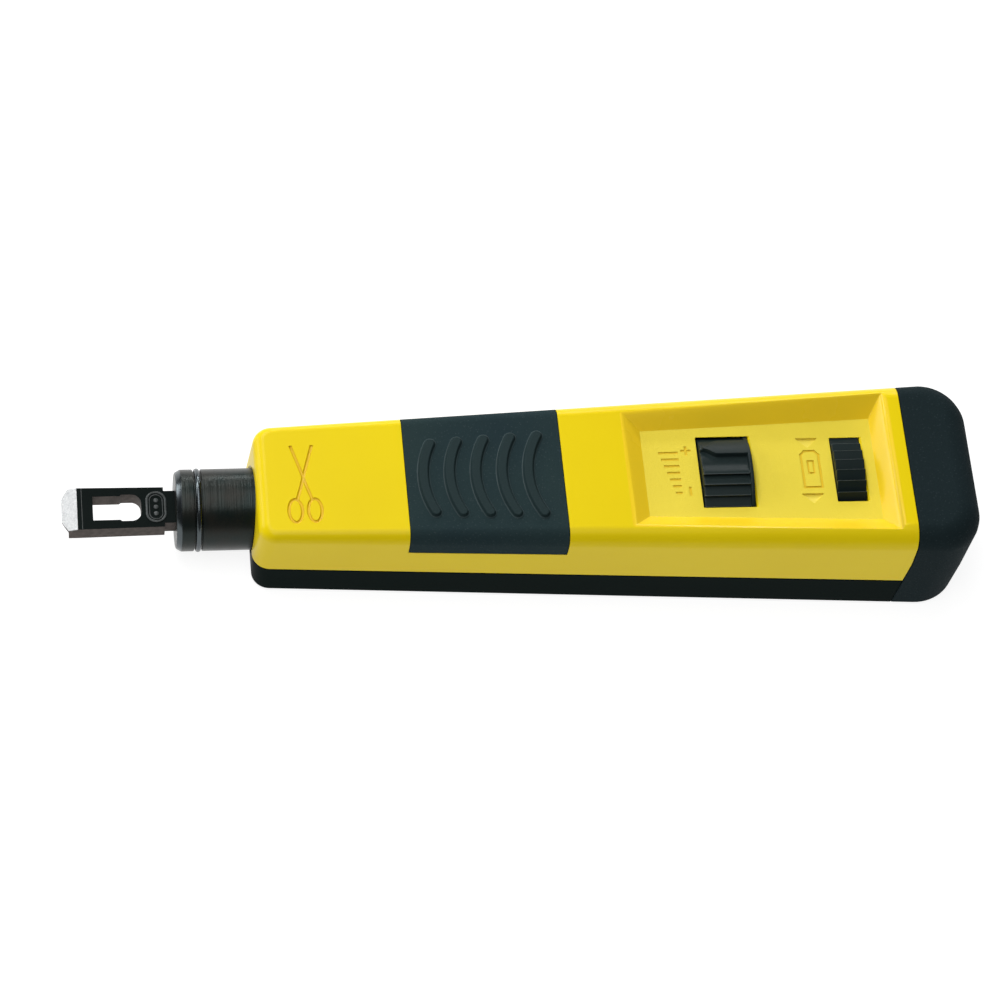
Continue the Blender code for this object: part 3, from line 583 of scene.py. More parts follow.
def window_flare(name, window, radius, width=0.16):
    """A rounded lead-in round a window's edge in the panel floor."""
    turns = [math.radians(degrees) for degrees in (0.0, 30.0, 60.0, 82.0)]
    steps = [(width * (1.0 - math.cos(turn)), width * (1.0 - math.sin(turn))) for turn in turns]
    steps.append((steps[-1][0] + 0.3, steps[-1][1] - 0.05))
    rings = []
    for out, depth in steps:
        ring = []
        for end, sign in ((0, -1), (1, -1), (1, 1), (0, 1)):
            x = window[end] + (out if end else -out)
            rise = floor_height(x) - AXIS_Z - 0.02 * x
            half = math.sqrt(radius ** 2 - rise ** 2)
            ring.append((x, sign * (half + out), floor_height(x) - depth))
        rings.append(ring)
    return loft(name, rings, CASE_FRAME)


def casing_block(name):
    block = envelope(name, 0.0, 0.0, 0.0)
    carve(block, cap_side("front_side", -CAP_GAP, -60.0), "INTERSECT")
    spigot = envelope("spigot", CAP_WALL + 0.15, 2.9, 2.75, fine=False)
    span = wedge("spigot_span", (110.0, SPIGOT_END), 30.0, lambda x: -5.0, lambda x: 40.0)
    carve(spigot, span, "INTERSECT")
    carve(block, spigot, "UNION")
    return block


def hollow(block):
    cavity = envelope("cavity", WALL, BOTTOM_WALL, WALL, front=4.5 + WALL, back=115.2 - WALL, corner=1.0,
                      fine=False)
    carve(cavity, wedge("under_floor", (64.4, 116.0), 30.0, lambda x: floor_height(x) - FLOOR_WALL,
                        lambda x: 40.0))
    carve(block, cavity)
    lead = [(-5.0, 0.0), (-5.0, BARREL_BORE + 4.8), (-0.2, BARREL_BORE)]
    carve(block, turned("barrel_bore", lead + [(16.4, BARREL_BORE), (16.4, 0.0)], 96, AXIS_FRAME))
    carve(block, bore(112.0, 126.0, 1.9, 24))


def cradle_ribs(block):
    """Cross walls that carry the mechanism, each bored on the tool axis."""
    for x0, x1, radius in ((17.3, 19.6, 5.65), (91.6, 93.4, 3.3), (112.9, 114.3, 1.6)):
        high = ((lambda x: floor_height(x) - 0.5 * FLOOR_WALL) if x0 > 60.0
                else (lambda x: top_height(x) - 0.5))
        rib = wedge("rib", (x0, x1), 30.0, lambda x: 0.5, high)
        carve(rib, envelope("rib_trim", 0.6, 0.6, 0.6, fine=False), "INTERSECT")
        carve(rib, bore(x0 - 1, x1 + 1, radius, 40))
        carve(block, rib, "UNION")
    for sign in (-1.0, 1.0):
        ys = sorted((sign * 7.0, sign * 9.0))
        carve(block, box("rail", (69.5, 79.0), ys, (0.8, 7.55), CASE_FRAME), "UNION")


def screw_posts(block):
    for x, y in SCREW_SPOTS.values():
        top = floor_height(x) - 0.4 if x > 60.0 else top_height(x) - 0.6
        post = rod_z("post", x, y, (0.5, top), 2.5)
        carve(post, envelope("post_trim", 0.5, 0.5, 0.5, fine=False), "INTERSECT")
        if x < 20.0:
            carve(post, bore(-4.0, 16.0, BARREL_BORE, 48))
        carve(block, post, "UNION")
    for x, y in SCREW_SPOTS.values():
        carve(block, rod_z("head_hole", x, y, (-1.0, SCREW_SEAT_Z), SCREW_HEAD_R + 0.15, 48))
        carve(block, rod_z("shank_hole", x, y, (SCREW_SEAT_Z - 0.5, 14.2), SCREW_SHANK_R + 0.15, 24))


def pad_low(x):
    return PAD_LOW_Z + 0.02 * (x - PAD_X[0])


def pad_region(name, gap, depth):
    """A saddle over the top and both sides: a slab of space above an inset casing form."""
    xs = (PAD_X[0] + gap, PAD_X[1] - gap)
    saddle = wedge(name, xs, 40.0, lambda x: pad_low(x) + gap, lambda x: 40.0)
    carve(saddle, envelope("core", depth, depth, depth))
    return saddle


# Marks sunk into the casing

def prism(name, plan, deep, shade):
    """A cutter over a plan outline, from deep(y) below the panel's floor to just above it."""
    loops = [[(x, y, floor_height(x) - deep(y)) for x, y in plan],
             [(x, y, floor_height(x) + 0.3 + deep(y)) for x, y in plan]]
    return loft(name, loops, CASE_FRAME, shade)


def stroke(start, end, width):
    """A thin plan rectangle from one point to another."""
    a, b = Vector(start), Vector(end)
    along = (b - a).normalized() * 0.5 * width
    across = Vector((-along.y, along.x))
    return [tuple(a - along - across), tuple(b + along - across), tuple(b + along + across),
            tuple(a - along + across)]


def groove(name, path, radius, lift, shade, closed):
    """A round-bottomed groove cutter along a plan path on the top face."""
    points = [Vector((x, y, top_height(x) + lift)) for x, y in path]
    count = len(points)
    around = 14
    verts = []
    for k, point in enumerate(points):
        before = points[(k - 1) % count] if closed or k else point
        after = points[(k + 1) % count] if closed or k < count - 1 else point
        along = (after - before).normalized()
        side = along.cross(Vector((0.0, 0.0, 1.0))).normalized()
        up = side.cross(along)
        for i in range(around):
            turn = 2.0 * math.pi * i / around
            verts.append(tuple(point + radius * (math.cos(turn) * side + math.sin(turn) * up)))
    faces = ring_faces(count, around, count if closed else count - 1)
    if not closed:
        faces.append(tuple(range(around)))
        faces.append(tuple(range((count - 1) * around, count * around)))
    return solid(name, verts, faces, CASE_FRAME, shade)


def nose_mark(target, shade):
    """An engraved pair of scissors by the nose: the side of the blade that cuts."""
    middle = 8.05
    radius, lift = 0.30, 0.06
    for sign in (-1.0, 1.0):
        loop = [(middle + sign * 1.72 + 1.2 * math.cos(2 * math.pi * k / 28),
                 -6.35 + 2.35 * math.sin(2 * math.pi * k / 28)) for k in range(28)]
        carve(target, groove("finger_loop", loop, radius, lift, shade, True), keep_shade=True)
    for sign in (-1.0, 1.0):
        path = [(middle + sign * 1.3, -4.05), (middle + sign * 0.55, -1.6), (middle - sign * 0.25, 1.4),
                (middle - sign * 1.9, 7.1)]
        line = groove("scissor_blade", path, radius, lift + 0.001 * sign, shade, False)
        carve(target, line, keep_shade=True)


def panel_marks(target, shade, arrow_shade):
    """Graduated bars with plus and minus by the dial, two triangles and a blade by the wheel."""
    plans = []
    for step in range(7):
        y = -4.2 + 1.4 * step
        half = 0.35 + 0.2 * step
        plans.append(stroke((75.6 - 2.0 * half, y), (75.6, y), 0.46))
    for start, end, width in (((77.3, 3.9), (77.3, 5.3), 0.46), ((76.6, 4.6), (77.0, 4.6), 0.44),
                              ((77.6, 4.6), (78.0, 4.6), 0.44), ((77.3, -3.2), (77.3, -4.6), 0.46)):
        plans.append(stroke(start, end, width))
    blade = [(98.2, -3.6), (98.2, 3.2), (98.9, 4.0), (100.7, 4.0), (101.4, 3.2), (101.4, -3.6)]
    for k in range(len(blade)):
        plans.append(stroke(blade[k], blade[(k + 1) % len(blade)], 0.42))
    for side in (99.3, 100.3):
        plans.append(stroke((side, -0.6), (side, 1.9), 0.3))
    for y in (-0.6, 1.9):
        plans.append(stroke((99.3, y), (100.3, y), 0.3))
    for k, plan in enumerate(plans):
        depth = 0.12 + 0.003 * k
        # The sunk bars and blade take the darker mark material: painted shade in the engraving
        carve(target, prism("mark", plan, lambda y: depth, shade), keep_shade=True)
    for x, top in ((99.6, 6.75), (99.45, -4.9)):
        plan = [(x - 2.05, top), (x + 2.05, top), (x + 0.12, top - 1.95), (x - 0.12, top - 1.95)]
        # The triangles take the paler arrow material: painted light on their sloping floors
        carve(target, prism("arrow", plan, lambda y: 0.45 - 0.2 * (top - y), arrow_shade), keep_shade=True)


# Shells, pad, cap and screws

def outer_point(x, y, z, reach=0.35):
    """Whether a point lies on the casing's outer sides, nose or top."""
    side = half_width(x) - abs(y) < reach
    nose = x < front_x(z) + 3.4
    crown = top_height(x) - z < reach + TOP_FILLET
    return side or nose or crown


def soften_joint(target, gap, width):
    """Round the outer edges of a joint face, where gap(x, z) is 0, by a width in millimetres."""
    edit = bmesh.new()
    edit.from_mesh(target.data)
    bmesh.ops.remove_doubles(edit, verts=edit.verts, dist=0.000002)
    edit.normal_update()
    edges = []
    for edge in edit.edges:
        ends = [v.co / MM for v in edge.verts]
        if (len(edge.link_faces) == 2 and edge.calc_face_angle_signed(0.0) >= math.radians(25.0)
                and all(abs(gap(x, z)) < 0.003 and outer_point(x, y, z) for x, y, z in ends)):
            edges.append(edge)
    if edges:
        bmesh.ops.bevel(edit, geom=edges, offset=width * MM, offset_type="OFFSET", segments=2,
                        profile=0.5, affect="EDGES", clamp_overlap=False, loop_slide=True)
    edit.to_mesh(target.data)
    edit.free()


def make_casing(shades):
    block = casing_block("casing")
    hollow(block)
    cradle_ribs(block)
    screw_posts(block)
    halves = []
    half_gap = 0.5 * PARTING_GAP
    for name, shade, low, high in (
        ("top_shell_skin", shades["yellow"], lambda x: parting_height(x) + half_gap, lambda x: 60.0),
        ("bottom_shell_skin", shades["black"], lambda x: -20.0, lambda x: parting_height(x) - half_gap),
    ):
        half = add_object(name, block.data.copy())
        half.matrix_world = CASE_FRAME
        carve(half, wedge("split", (-20.0, 140.0), 40.0, low, high), "INTERSECT")
        shade_all(half, shade)
        halves.append(half)
    bpy.data.objects.remove(block)
    top, bottom = halves
    # The recess walls take the wall material, whose warmer colour is painted shade
    carve(top, recess_cutter(shades["wall"]), keep_shade=True)
    # The floor faces take the panel material, whose paler colour is a painted sheen
    shade_faces(top, shades["panel"],
                lambda normal, x, y, z: normal.z > 0.9 and abs(z - floor_height(x)) < 0.02)
    carve(top, half_drum("dial_window", DIAL_WINDOW, DIAL_WINDOW_R))
    carve(top, half_drum("wheel_window", WHEEL_WINDOW, WHEEL_WINDOW_R))
    carve(top, window_flare("dial_flare", DIAL_WINDOW, DIAL_WINDOW_R))
    carve(top, window_flare("wheel_flare", WHEEL_WINDOW, WHEEL_WINDOW_R))
    carve(top, pad_region("pad_pocket", 0.0, PAD_THICK))
    # The scissors grooves take the darker groove material: painted shade in the grooves
    nose_mark(top, shades["groove"])
    panel_marks(top, shades["mark"], shades["arrow"])
    for half, level in ((top, half_gap), (bottom, -half_gap)):
        soften_joint(half, lambda x, z: z - parting_height(x) - level, 0.12)
        soften_joint(half, lambda x, z: x - cap_plane_x(z) + CAP_GAP, 0.12)
    smooth(top, 30.0)
    smooth(bottom, 30.0)
    stand_for(top, "casing", "top_shell")
    stand_for(bottom, "casing", "bottom_shell")


def stadium(middle, half, offset, lift):
    """A closed plan loop round a curved rib, inset by an offset, at a height above the top."""
    reach = RIB_HALF_WIDTH - offset
    span = math.asin(half / RIB_RADIUS)
    centre = middle + RIB_RADIUS
    low, high = math.pi + span, math.pi - span

    def side(radius, start, end):
        turns = [start + (end - start) * k / 24 for k in range(25)]
        return [(centre + radius * math.cos(turn), radius * math.sin(turn)) for turn in turns]

    def rounded_end(at, start):
        cx, cy = centre + RIB_RADIUS * math.cos(at), RIB_RADIUS * math.sin(at)
        turns = [start + math.pi * k / 10 for k in range(1, 10)]
        return [(cx + reach * math.cos(turn), cy + reach * math.sin(turn)) for turn in turns]

    loop = side(RIB_RADIUS + reach, high, low) + rounded_end(low, low)
    loop += side(RIB_RADIUS - reach, low, high) + rounded_end(high, high + math.pi)
    return [(x, y + RIB_MIDDLE_Y, top_height(x) + lift) for x, y in loop]


def make_grip_pad(shades):
    pad = pad_region("grip_pad_skin", PAD_GAP, PAD_THICK - PAD_GAP)
    carve(pad, envelope("pad_outer", 0.0, 0.0, 0.0), "INTERSECT")
    shade_all(pad, shades["grip"])
    for index in range(RIB_COUNT):
        middle = RIB_FIRST_X + RIB_PITCH * index
        half = RIB_HALF[0] + (RIB_HALF[1] - RIB_HALF[0]) * index / (RIB_COUNT - 1)
        levels = [(-0.17, -0.5), (-0.17, 0.02), (0.0, RIB_FOOT)]
        for turn in (20.0, 40.0, 60.0, 78.0, 90.0):
            angle = math.radians(turn)
            rise = RIB_FOOT + (RIB_HEIGHT - RIB_FOOT) * math.sin(angle)
            levels.append((RIB_FOOT + 0.3 * (1.0 - math.cos(angle)), rise))
        loops = [stadium(middle, half - RIB_HALF_WIDTH, offset, lift) for offset, lift in levels]
        rib = loft("rib", loops, CASE_FRAME, shades["rib"])
        # The rib's lowest band takes the paler material: a painted highlight round its foot
        shade_faces(rib, shades["painted_rib_highlight"], lambda normal, x, y, z: z - top_height(x) < 0.1)
        carve(pad, rib, "UNION", keep_shade=True)
    smooth(pad, 35.0)
    stand_for(pad, "casing", "grip_pad")


def make_end_cap(shades):
    cap = envelope("end_cap_skin", 0.0, 0.0, 0.0)
    carve(cap, cap_side("tail_side", 0.0, 160.0), "INTERSECT")
    inner = envelope("cap_hollow", CAP_WALL, 2.6, 2.6, fine=False)
    carve(inner, cap_side("hollow_side", -3.0, 160.0), "INTERSECT")
    carve(cap, inner)
    shade_all(cap, shades["cap"])
    soften_joint(cap, lambda x, z: x - cap_plane_x(z), 0.2)
    smooth(cap, 35.0)
    stand_for(cap, "casing", "end_cap")


def make_screws(shades):
    """Cross-head screws with a rounded head edge and a helical thread."""
    pitch, top, steps = 0.7, 13.2, 24
    for node, (x, y) in SCREW_SPOTS.items():
        loops = []
        for z, r in ((0.52, SCREW_HEAD_R - 0.25), (0.58, SCREW_HEAD_R - 0.1), (0.72, SCREW_HEAD_R - 0.02),
                     (0.9, SCREW_HEAD_R), (SCREW_SEAT_Z - 0.1, SCREW_HEAD_R), (SCREW_SEAT_Z - 0.1, 0.85)):
            loops.append([(a, b, z) for a, b in circle(x, y, r, steps)])
        rows = int((top - SCREW_SEAT_Z) / pitch * 6)
        for k in range(rows + 1):
            z = SCREW_SEAT_Z + 0.1 + (top - SCREW_SEAT_Z - 0.1) * k / rows
            ring = []
            for i in range(steps):
                phase = (z / pitch - i / steps) % 1.0
                r = 0.78 + 0.2 * (1.0 - abs(2.0 * phase - 1.0))
                r *= min(1.0, 0.35 + (top - z) / 1.2)
                ring.append((x + r * math.cos(2 * math.pi * i / steps),
                             y + r * math.sin(2 * math.pi * i / steps), z))
            loops.append(ring)
        screw = loft(node + "_skin", loops, CASE_FRAME, shades["machined"])
        for wide, deep in ((1.0, 0.28), (0.28, 1.0)):
            slot = [[(x + a * near * wide, y + b * far * deep, z) for a, b in CORNERS]
                    for near, far, z in ((1.0, 1.0, 0.0), (0.45, 0.6, 1.5))]
            carve(screw, loft("cross", slot, CASE_FRAME))
        smooth(screw, 35.0)
        stand_for(screw, "casing", node)


# Chuck and blade

CHUCK_R = 7.3
NECK_R = 5.5


def make_chuck(shades):
    """The barrel with its bevelled front, its ring groove and the bored neck behind it."""
    front = [(-14.15, 0.0), (-14.15, 6.55), (-14.08, 6.75), (-13.98, 6.84), (-13.36, 7.2), (-13.2, 7.28)]
    groove_walls = [(-13.0, CHUCK_R), (-11.1, CHUCK_R), (-10.98, 7.26), (-10.95, 7.18), (-10.95, 6.72),
                    (-9.5, 6.72), (-9.5, 7.18), (-9.47, 7.26), (-9.35, CHUCK_R)]
    neck = [(5.8, CHUCK_R), (6.0, 7.1), (6.0, NECK_R), (19.85, NECK_R), (19.85, 4.9), (20.95, 4.9),
            (20.95, NECK_R), (22.7, NECK_R), (23.0, 5.2), (23.0, 4.4), (-1.0, 4.4), (-1.0, 0.0)]
    sleeve = turned("chuck_sleeve_skin", front + groove_walls + neck, 128, AXIS_FRAME, shades["oxide"])
    carve(sleeve, box("blade_slot", (-15.0, 0.5), (-3.45, 3.45), (-1.6, 1.6), AXIS_FRAME))
    shade_faces(sleeve, shades["ring"], lambda normal, x, y, z: -14.1 < x < -13.25)
    smooth(sleeve, 25.0)
    stand_for(sleeve, "plunger", "chuck_sleeve")
    rows = [(-10.7 + 0.5 * (1 - math.cos(math.pi * k / 10)), 7.02 + 0.44 * math.sin(math.pi * k / 10))
            for k in range(11)]
    ring = turned("chuck_ring_skin", [(-10.7, 6.85)] + rows + [(-9.7, 6.85)], 96, AXIS_FRAME, shades["ring"])
    carve(ring, box("ring_gap", (-11.5, -8.5), (3.0, 9.0), (-5.4, -4.4), AXIS_FRAME))
    smooth(ring, 30.0)
    stand_for(ring, "plunger", "chuck_ring")


def oval_ring(name, inset, width, zs, shade, steps=48):
    """A straight-sided oval frame between two heights, inset from the pad's edge, rounded on top."""
    points = []
    crown = min(0.09, 0.35 * width)
    levels = [(inset, zs[0]), (inset, zs[1] - crown), (inset + 0.3 * crown, zs[1] - 0.3 * crown),
              (inset + crown, zs[1]), (inset + width - crown, zs[1]),
              (inset + width - 0.3 * crown, zs[1] - 0.3 * crown), (inset + width, zs[1] - crown),
              (inset + width, zs[0])]
    for offset, z in levels:
        for k in range(steps):
            turn = 2.0 * math.pi * (k + 0.5) / steps
            shift = math.copysign(OVAL_HALF[1] - OVAL_HALF[0], math.sin(turn))
            reach = OVAL_HALF[0] - offset
            points.append((OVAL_X + reach * math.cos(turn), shift + reach * math.sin(turn), z))
    return solid(name, points, ring_faces(len(levels), steps, len(levels)), AXIS_FRAME, shade)


def plate(name, profile, zs, place, shade=None):
    return loft(name, [[(x, y, z) for x, y in profile] for z in zs], place, shade)


def make_blade(shades):
    half = 0.5 * BLADE_THICK
    side = [(TIP_X, 2.3), (TIP_X + 0.25, 2.85), (TIP_X + 1.1, BLADE_TIP_HALF), (TIP_X + 2.6, BLADE_TIP_HALF),
            (BLADE_SHOULDER_X, BLADE_HALF), (BLADE_SHOULDER_X, SHANK_HALF), (1.5, SHANK_HALF),
            (1.5, SHANK_NECK_HALF), (3.1, SHANK_NECK_HALF), (3.1, 2.2), (4.9, 2.2), (4.9, SHANK_NECK_HALF),
            (SHANK_END_X - 0.5, SHANK_NECK_HALF), (SHANK_END_X, 2.4)]
    profile = side + [(x, -y) for x, y in reversed(side)]
    blade = plate("punch_blade_skin", profile, (-half, half), AXIS_FRAME, shades["blade"])
    grind = [(TIP_X - 1.0, half - 1.0), (TIP_X + 2.8, half + 0.02), (TIP_X + 2.8, half + 2.0),
             (TIP_X - 1.0, half + 2.0)]
    carve(blade, loft("grind", [[(x, y, z) for x, z in grind] for y in (-6.0, 6.0)], AXIS_FRAME))
    lip = (TIP_X - 1.0, TIP_X + LIP_LENGTH)
    carve(blade, box("lip", lip, (-6.0, 6.0), (-half - 1.0, half - 1.0), AXIS_FRAME))
    slot = [(-28.7, -SLOT_HALF), (-23.9, -SLOT_HALF), (-23.6, -SLOT_WIDE_HALF)]
    for sign in (-1.0, 1.0):
        for k in range(11):
            turn = 0.5 * math.pi * (k / 10 - 1.0 if sign < 0.0 else k / 10)
            slot.append((SLOT_END_X - SLOT_CORNER + SLOT_CORNER * math.cos(turn),
                         sign * (SLOT_WIDE_HALF - SLOT_CORNER) + SLOT_CORNER * math.sin(turn)))
    slot += [(-23.6, SLOT_WIDE_HALF), (-23.9, SLOT_HALF), (-28.7, SLOT_HALF)]
    carve(blade, plate("wire_slot", slot, (-3.0, 3.0), AXIS_FRAME))
    crease = (CREASE_X - 0.07, CREASE_X + 0.07)
    carve(blade, box("crease", crease, (-6.0, 6.0), (half - 0.03, half + 1.0), AXIS_FRAME))
    shade_faces(blade, shades["sheared"], lambda normal, x, y, z: abs(normal.z) < 0.5)
    shade_faces(blade, shades["ground"], lambda normal, x, y, z: 0.5 < normal.z < 0.99 and x < TIP_X + 3.2)
    # The crease floor takes the paler grey: a painted highlight line
    shade_faces(blade, shades["painted_crown_highlight"], lambda normal, x, y, z: normal.z > 0.9 and abs(x - CREASE_X) < 0.08)
    # The oval frames and pips carry the paler grey on their crowns: painted highlights
    for inset, width, lift in ((0.0, 0.42, 0.17), (0.6, 0.2, 0.11)):
        frame_ring = oval_ring("oval_frame", inset, width, (half - 0.4, half + lift), shades["painted_crown_highlight"])
        carve(blade, frame_ring, "UNION", keep_shade=True)
    for y in (-1.35, 0.0, 1.35):
        rows = [[(a, b, half + lift) for a, b in circle(OVAL_X, y, r, 20)]
                for r, lift in ((0.46, -0.4), (0.46, 0.05), (0.4, 0.12), (0.3, 0.15))]
        carve(blade, loft("pip", rows, AXIS_FRAME, shades["painted_crown_highlight"]), "UNION", keep_shade=True)
    smooth(blade, 25.0)
    stand_for(blade, "blade", "punch_blade")


# Thumb wheels

DIAL_R = 11.35
DIAL_XS = (79.8, 88.9)
DIAL_HUB = 7.0
HOLLOW_TOP = 13.5
RIDGE_TOP = -9.0
RIDGE_PITCH = 10.5
RIDGES = 3


def ramp(value, start, end):
    """0 before start, 1 after end and smooth between."""
    share = min(1.0, max(0.0, (value - start) / (end - start)))
    return share * share * (3.0 - 2.0 * share)


def dial_height(x, angle):
    """The dial's outer radius: pointer, thumb hollow and three stepped ridges."""
    if angle > 80.0 or angle < -43.0:
        return DIAL_HUB
    cheek = ramp(x, 88.2, 88.32)
    share = (RIDGE_TOP - angle) / RIDGE_PITCH
    if angle < RIDGE_TOP:
        last = share >= RIDGES
        share -= RIDGES if last else math.floor(share)
        base = DIAL_R - 0.78 + 0.66 * share
        if not last:
            base -= 0.25 * ramp(share, 0.95, 1.0) + 0.04 * ramp(share, 0.9, 0.95)
    else:
        low = HOLLOW_TOP + 7.5 * ramp(82.9 - x, 0.0, 2.6)
        high = 33.5 - 11.0 * ramp(83.4 - x, 0.0, 3.2)
        hollow = DIAL_R - 0.14 - 0.72 * ramp(angle, RIDGE_TOP, 4.0)
        crest = DIAL_R - 0.02
        if angle > high:
            base = crest - 0.34 * ramp(angle, high, high + 1.4)
        elif angle > low:
            base = crest
        else:
            base = hollow + (crest - hollow) * ramp(angle, low - 1.1, low)
        if x < 80.3:
            base = min(base, DIAL_R - 0.4) if angle > HOLLOW_TOP else base
    rim = DIAL_R if angle > -42.8 else base
    return base + (rim - base) * cheek


def make_dial(shades):
    angles = []
    spans = [(-43.0, RIDGE_TOP - RIDGES * RIDGE_PITCH - 0.05, 4)]
    for step in range(RIDGES, 0, -1):
        start, end = RIDGE_TOP - RIDGE_PITCH * step, RIDGE_TOP - RIDGE_PITCH * (step - 1)
        spans += [(start + 0.03, start + 1.1, 8), (start + 1.4, end - 0.03, 14)]
    spans += [(RIDGE_TOP + 0.03, 12.0, 26), (12.2, 22.6, 50), (22.8, 36.0, 44), (36.5, 80.0, 22)]
    for start, end, steps in spans:
        angles += [start + (end - start) * k / steps for k in range(steps + 1)]
    angles += [80.02 + (316.96 - 80.02) * k / 48 for k in range(49)]
    xs = [DIAL_XS[0], DIAL_XS[0] + 0.04, DIAL_XS[0] + 0.1]
    xs += [80.0 + 0.1 * k for k in range(1, 79)]
    xs += [87.9 + 0.025 * k for k in range(1, 10)]
    xs += [88.2 + 0.1 * k for k in range(1, 6)]
    xs += [DIAL_XS[1] - 0.1, DIAL_XS[1] - 0.04, DIAL_XS[1]]
    rows = []
    for x in xs:
        end = min(x - DIAL_XS[0], DIAL_XS[1] - x)
        round_off = 0.12 * (1.0 - math.sqrt(max(0.0, 1.0 - (1.0 - min(end, 0.12) / 0.12) ** 2)))
        rows.append([round_axis(x, dial_height(x, angle) - round_off, angle) for angle in angles])
    for x in (DIAL_XS[1], DIAL_XS[0]):
        rows.append([round_axis(x, 4.6, angle) for angle in angles])
    faces = ring_faces(len(rows), len(angles), len(rows))
    dial = solid("impact_dial_skin", [p for row in rows for p in row], faces, AXIS_FRAME, shades["wheel"])

    def on_crest(normal, x, y, z):
        share = (RIDGE_TOP - math.degrees(math.atan2(y, z))) / RIDGE_PITCH
        crest = 0.0 < share < RIDGES and 0.88 < share % 1.0 < 0.97
        return math.hypot(y, z) > 10.0 and x < 88.2 and (crest or -0.1 < share < -0.02)

    # The ridge crests take the paler material: painted highlight lines
    shade_faces(dial, shades["painted_crest_highlight"], on_crest)
    smooth(dial, 30.0)
    stand_for(dial, "impact_dial", "impact_dial")


WHEEL_R = 10.85
WHEEL_TOOTH = 11.15
WHEEL_TEETH = 10
WHEEL_FIRST = -61.75
WHEEL_XS = (104.15, 109.45)


def make_release_wheel(shades):
    """A toothed sector on a hub with a hexagonal bore."""
    hub = [(103.5, 0.0), (103.5, 3.8), (103.7, 4.0), (111.8, 4.0), (112.0, 3.8), (112.0, 0.0)]
    wheel = turned("release_wheel_skin", hub, 64, AXIS_FRAME, shades["wheel"])
    marks = []
    for tooth in range(WHEEL_TEETH):
        base = WHEEL_FIRST + WHEEL_TOOTH * tooth
        for share in (0.0, 0.02, 0.05, 0.25, 0.5, 0.75, 0.9):
            root = 0.9 if share else 0.84
            marks.append((base + WHEEL_TOOTH * share, WHEEL_R - root * (1.0 - share) ** 0.9))
        for share, drop in ((0.93, 0.06), (0.955, 0.015), (0.975, 0.03), (0.988, 0.1), (0.996, 0.2)):
            marks.append((base + WHEEL_TOOTH * share, WHEEL_R - drop))
    loops = []
    for x, pull in ((WHEEL_XS[0], 0.12), (WHEEL_XS[0] + 0.035, 0.05), (WHEEL_XS[0] + 0.12, 0.0),
                    (WHEEL_XS[1] - 0.12, 0.0), (WHEEL_XS[1] - 0.035, 0.05), (WHEEL_XS[1], 0.12)):
        loop = [round_axis(x, r - pull, a) for a, r in marks]
        loop += [round_axis(x, 3.4, a) for a in (49.0, 34.0, 17.0, 0.0, -20.0, -41.0, -61.0)]
        loops.append(loop)
    sector = loft("wheel_sector", loops, AXIS_FRAME, shades["wheel"])

    def on_tooth_edge(normal, x, y, z):
        share = ((math.degrees(math.atan2(y, z)) - WHEEL_FIRST) / WHEEL_TOOTH) % 1.0
        return math.hypot(y, z) > WHEEL_R - 0.2 and 0.925 < share < 0.99

    # The tooth crests take the paler material: painted highlight lines
    shade_faces(sector, shades["painted_crest_highlight"], on_tooth_edge)
    carve(wheel, sector, "UNION", keep_shade=True)
    hexagon = circle(0.0, 0.0, 1.2 / math.cos(math.pi / 6), 6)
    carve(wheel, loft("hub_hex", [[(x, y, z) for y, z in hexagon] for x in (102.0, 114.0)], AXIS_FRAME))
    smooth(wheel, 20.0)
    stand_for(wheel, "release_wheel", "release_wheel")


# Pieces that stay as the CAD made them, with their finish

INNER_FINISH = {
    "retaining_clip": "bright", "blade_lock": "brass", "release_rod": "bright", "drive_stem": "bright",
    "hammer": "machined", "latch_plate": "bright", "latch_cam": "bright", "spring_follower": "machined",
    "dial_detent_spring": "spring", "thrust_plate": "machined", "wheel_return_spring": "spring",
}


def dress_inner_parts(shades):
    for node, shade in INNER_FINISH.items():
        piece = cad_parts[node]
        if not piece.material_slots:
            piece.data.materials.append(None)
        piece.material_slots[0].material = shades[shade]


def make_closing_springs(shades):
    """Copies of the springs in spring steel, each riding on its body in place of its CAD node."""
    along = AXIS_FRAME.to_3x3() @ Vector((1.0, 0.0, 0.0))
    across = Vector((0.0, -1.0, 0.0))
    for node, body, joint, way, travel in (
        ("return_spring", "casing", "plunger_slide", along, PLUNGER_STROKE),
        ("impact_spring", "casing", "hammer_slide", along, PLUNGER_STROKE),
        ("latch_spring", "hammer", "latch_slide", across, LATCH_STROKE),
    ):
        coil = add_object(node + "_coil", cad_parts[node].data.copy())
        coil.matrix_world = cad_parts[node].matrix_world.copy()
        shade_all(coil, shades["spring"])
        stand_for(coil, body, node)
        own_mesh(coil)


# Floor, light and camera

FLOOR_REACH = 3.0
FLOOR_LEVEL = -0.0002


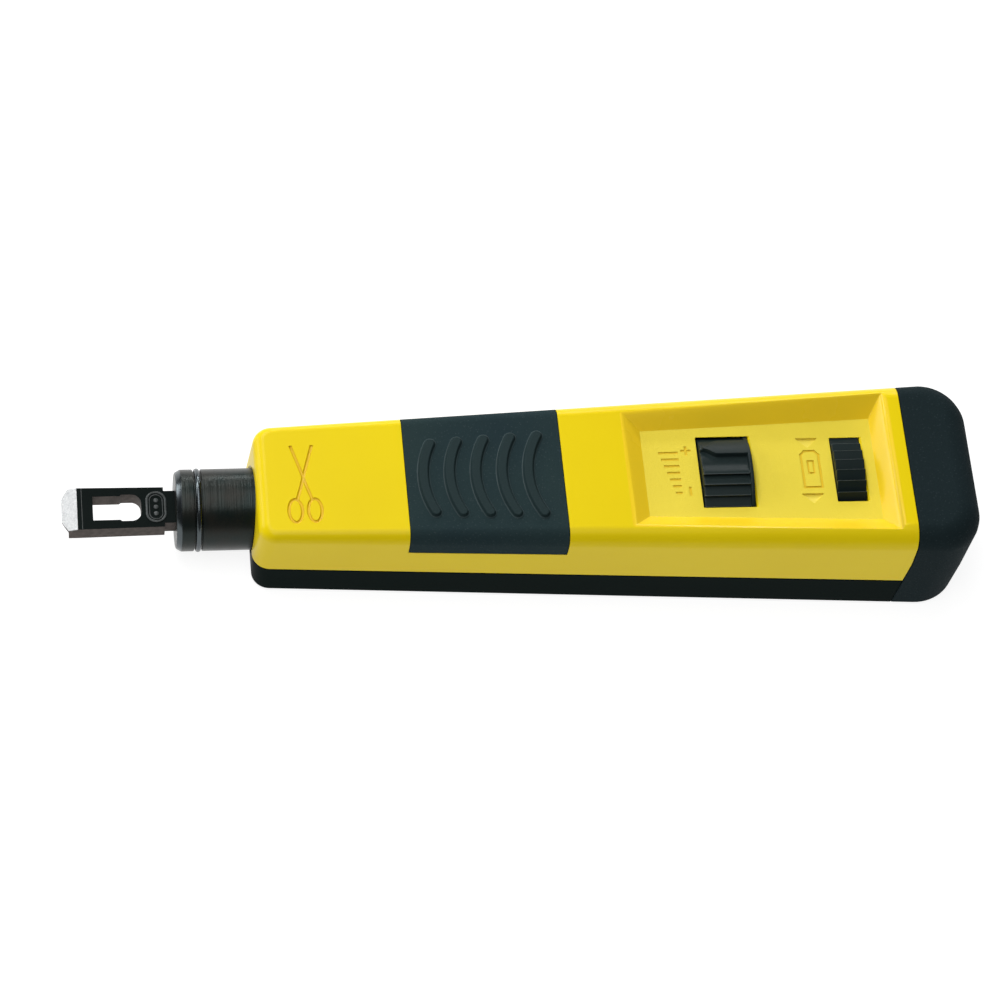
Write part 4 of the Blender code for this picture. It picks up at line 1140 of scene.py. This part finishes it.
def make_stage():
    shade = bpy.data.materials.new("studio_floor")
    shade.use_nodes = True
    look = shade.node_tree.nodes["Principled BSDF"]
    look.inputs["Base Color"].default_value = (0.3, 0.3, 0.3, 1.0)
    look.inputs["Roughness"].default_value = 0.9
    look.inputs["Specular IOR Level"].default_value = 0.0
    look.inputs["Emission Color"].default_value = (1.0, 1.0, 1.0, 1.0)
    look.inputs["Emission Strength"].default_value = 0.88
    mesh = bpy.data.meshes.new("studio_floor")
    corners = [(FLOOR_REACH * x, FLOOR_REACH * y, FLOOR_LEVEL) for x, y in CORNERS]
    mesh.from_pydata(corners, [], [(0, 1, 2, 3)])
    mesh.materials.append(shade)
    floor = add_object("studio_floor", mesh)
    world = bpy.data.worlds.new("studio")
    world.use_nodes = True
    sky = world.node_tree.nodes["Background"]
    sky.inputs["Color"].default_value = (0.96, 0.98, 1.0, 1.0)
    sky.inputs["Strength"].default_value = 0.08
    bpy.context.scene.world = world
    bpy.context.scene.view_settings.view_transform = "Standard"


def softbox(name, place, target, size, power):
    lamp = bpy.data.lights.new(name, "AREA")
    lamp.shape = "RECTANGLE"
    lamp.size, lamp.size_y = size
    lamp.energy = power
    made = add_object(name, lamp)
    made.location = place
    made.rotation_euler = (Vector(target) - Vector(place)).to_track_quat("-Z", "Y").to_euler()


def make_lights():
    softbox("overhead_softbox", (-0.2, 0.0, 0.85), (0.04, 0.0, 0.0), (0.9, 0.5), 4.9)
    softbox("back_key", (-0.26, 0.60, 0.58), (0.04, 0.0, 0.0), (0.34, 0.3), 3.0)
    softbox("left_card", (-0.72, 0.46, 0.26), (0.03, 0.0, 0.01), (0.36, 0.3), 1.8)
    softbox("back_strip", (0.2, 0.85, 0.30), (0.05, 0.0, 0.01), (0.7, 0.06), 2.4)


def make_camera():
    data = bpy.data.cameras.new("camera")
    data.lens = 153.82
    data.clip_start, data.clip_end = 0.05, 20.0
    made = add_object("camera", data)
    right = Vector((0.98872, -0.08876, 0.12063))
    up = Vector((0.01393, 0.85647, 0.51601))
    back = Vector((-0.14912, -0.50851, 0.84805))
    turn = Matrix((right, up, back)).transposed().to_4x4()
    made.matrix_world = Matrix.Translation((-0.117613, -0.390518, 0.661525)) @ turn
    bpy.context.scene.camera = made


def main():
    make_camera()
    shades = make_materials()
    make_casing(shades)
    make_grip_pad(shades)
    make_end_cap(shades)
    make_screws(shades)
    make_chuck(shades)
    make_blade(shades)
    make_dial(shades)
    make_release_wheel(shades)
    dress_inner_parts(shades)
    make_closing_springs(shades)
    make_stage()
    make_lights()


main()
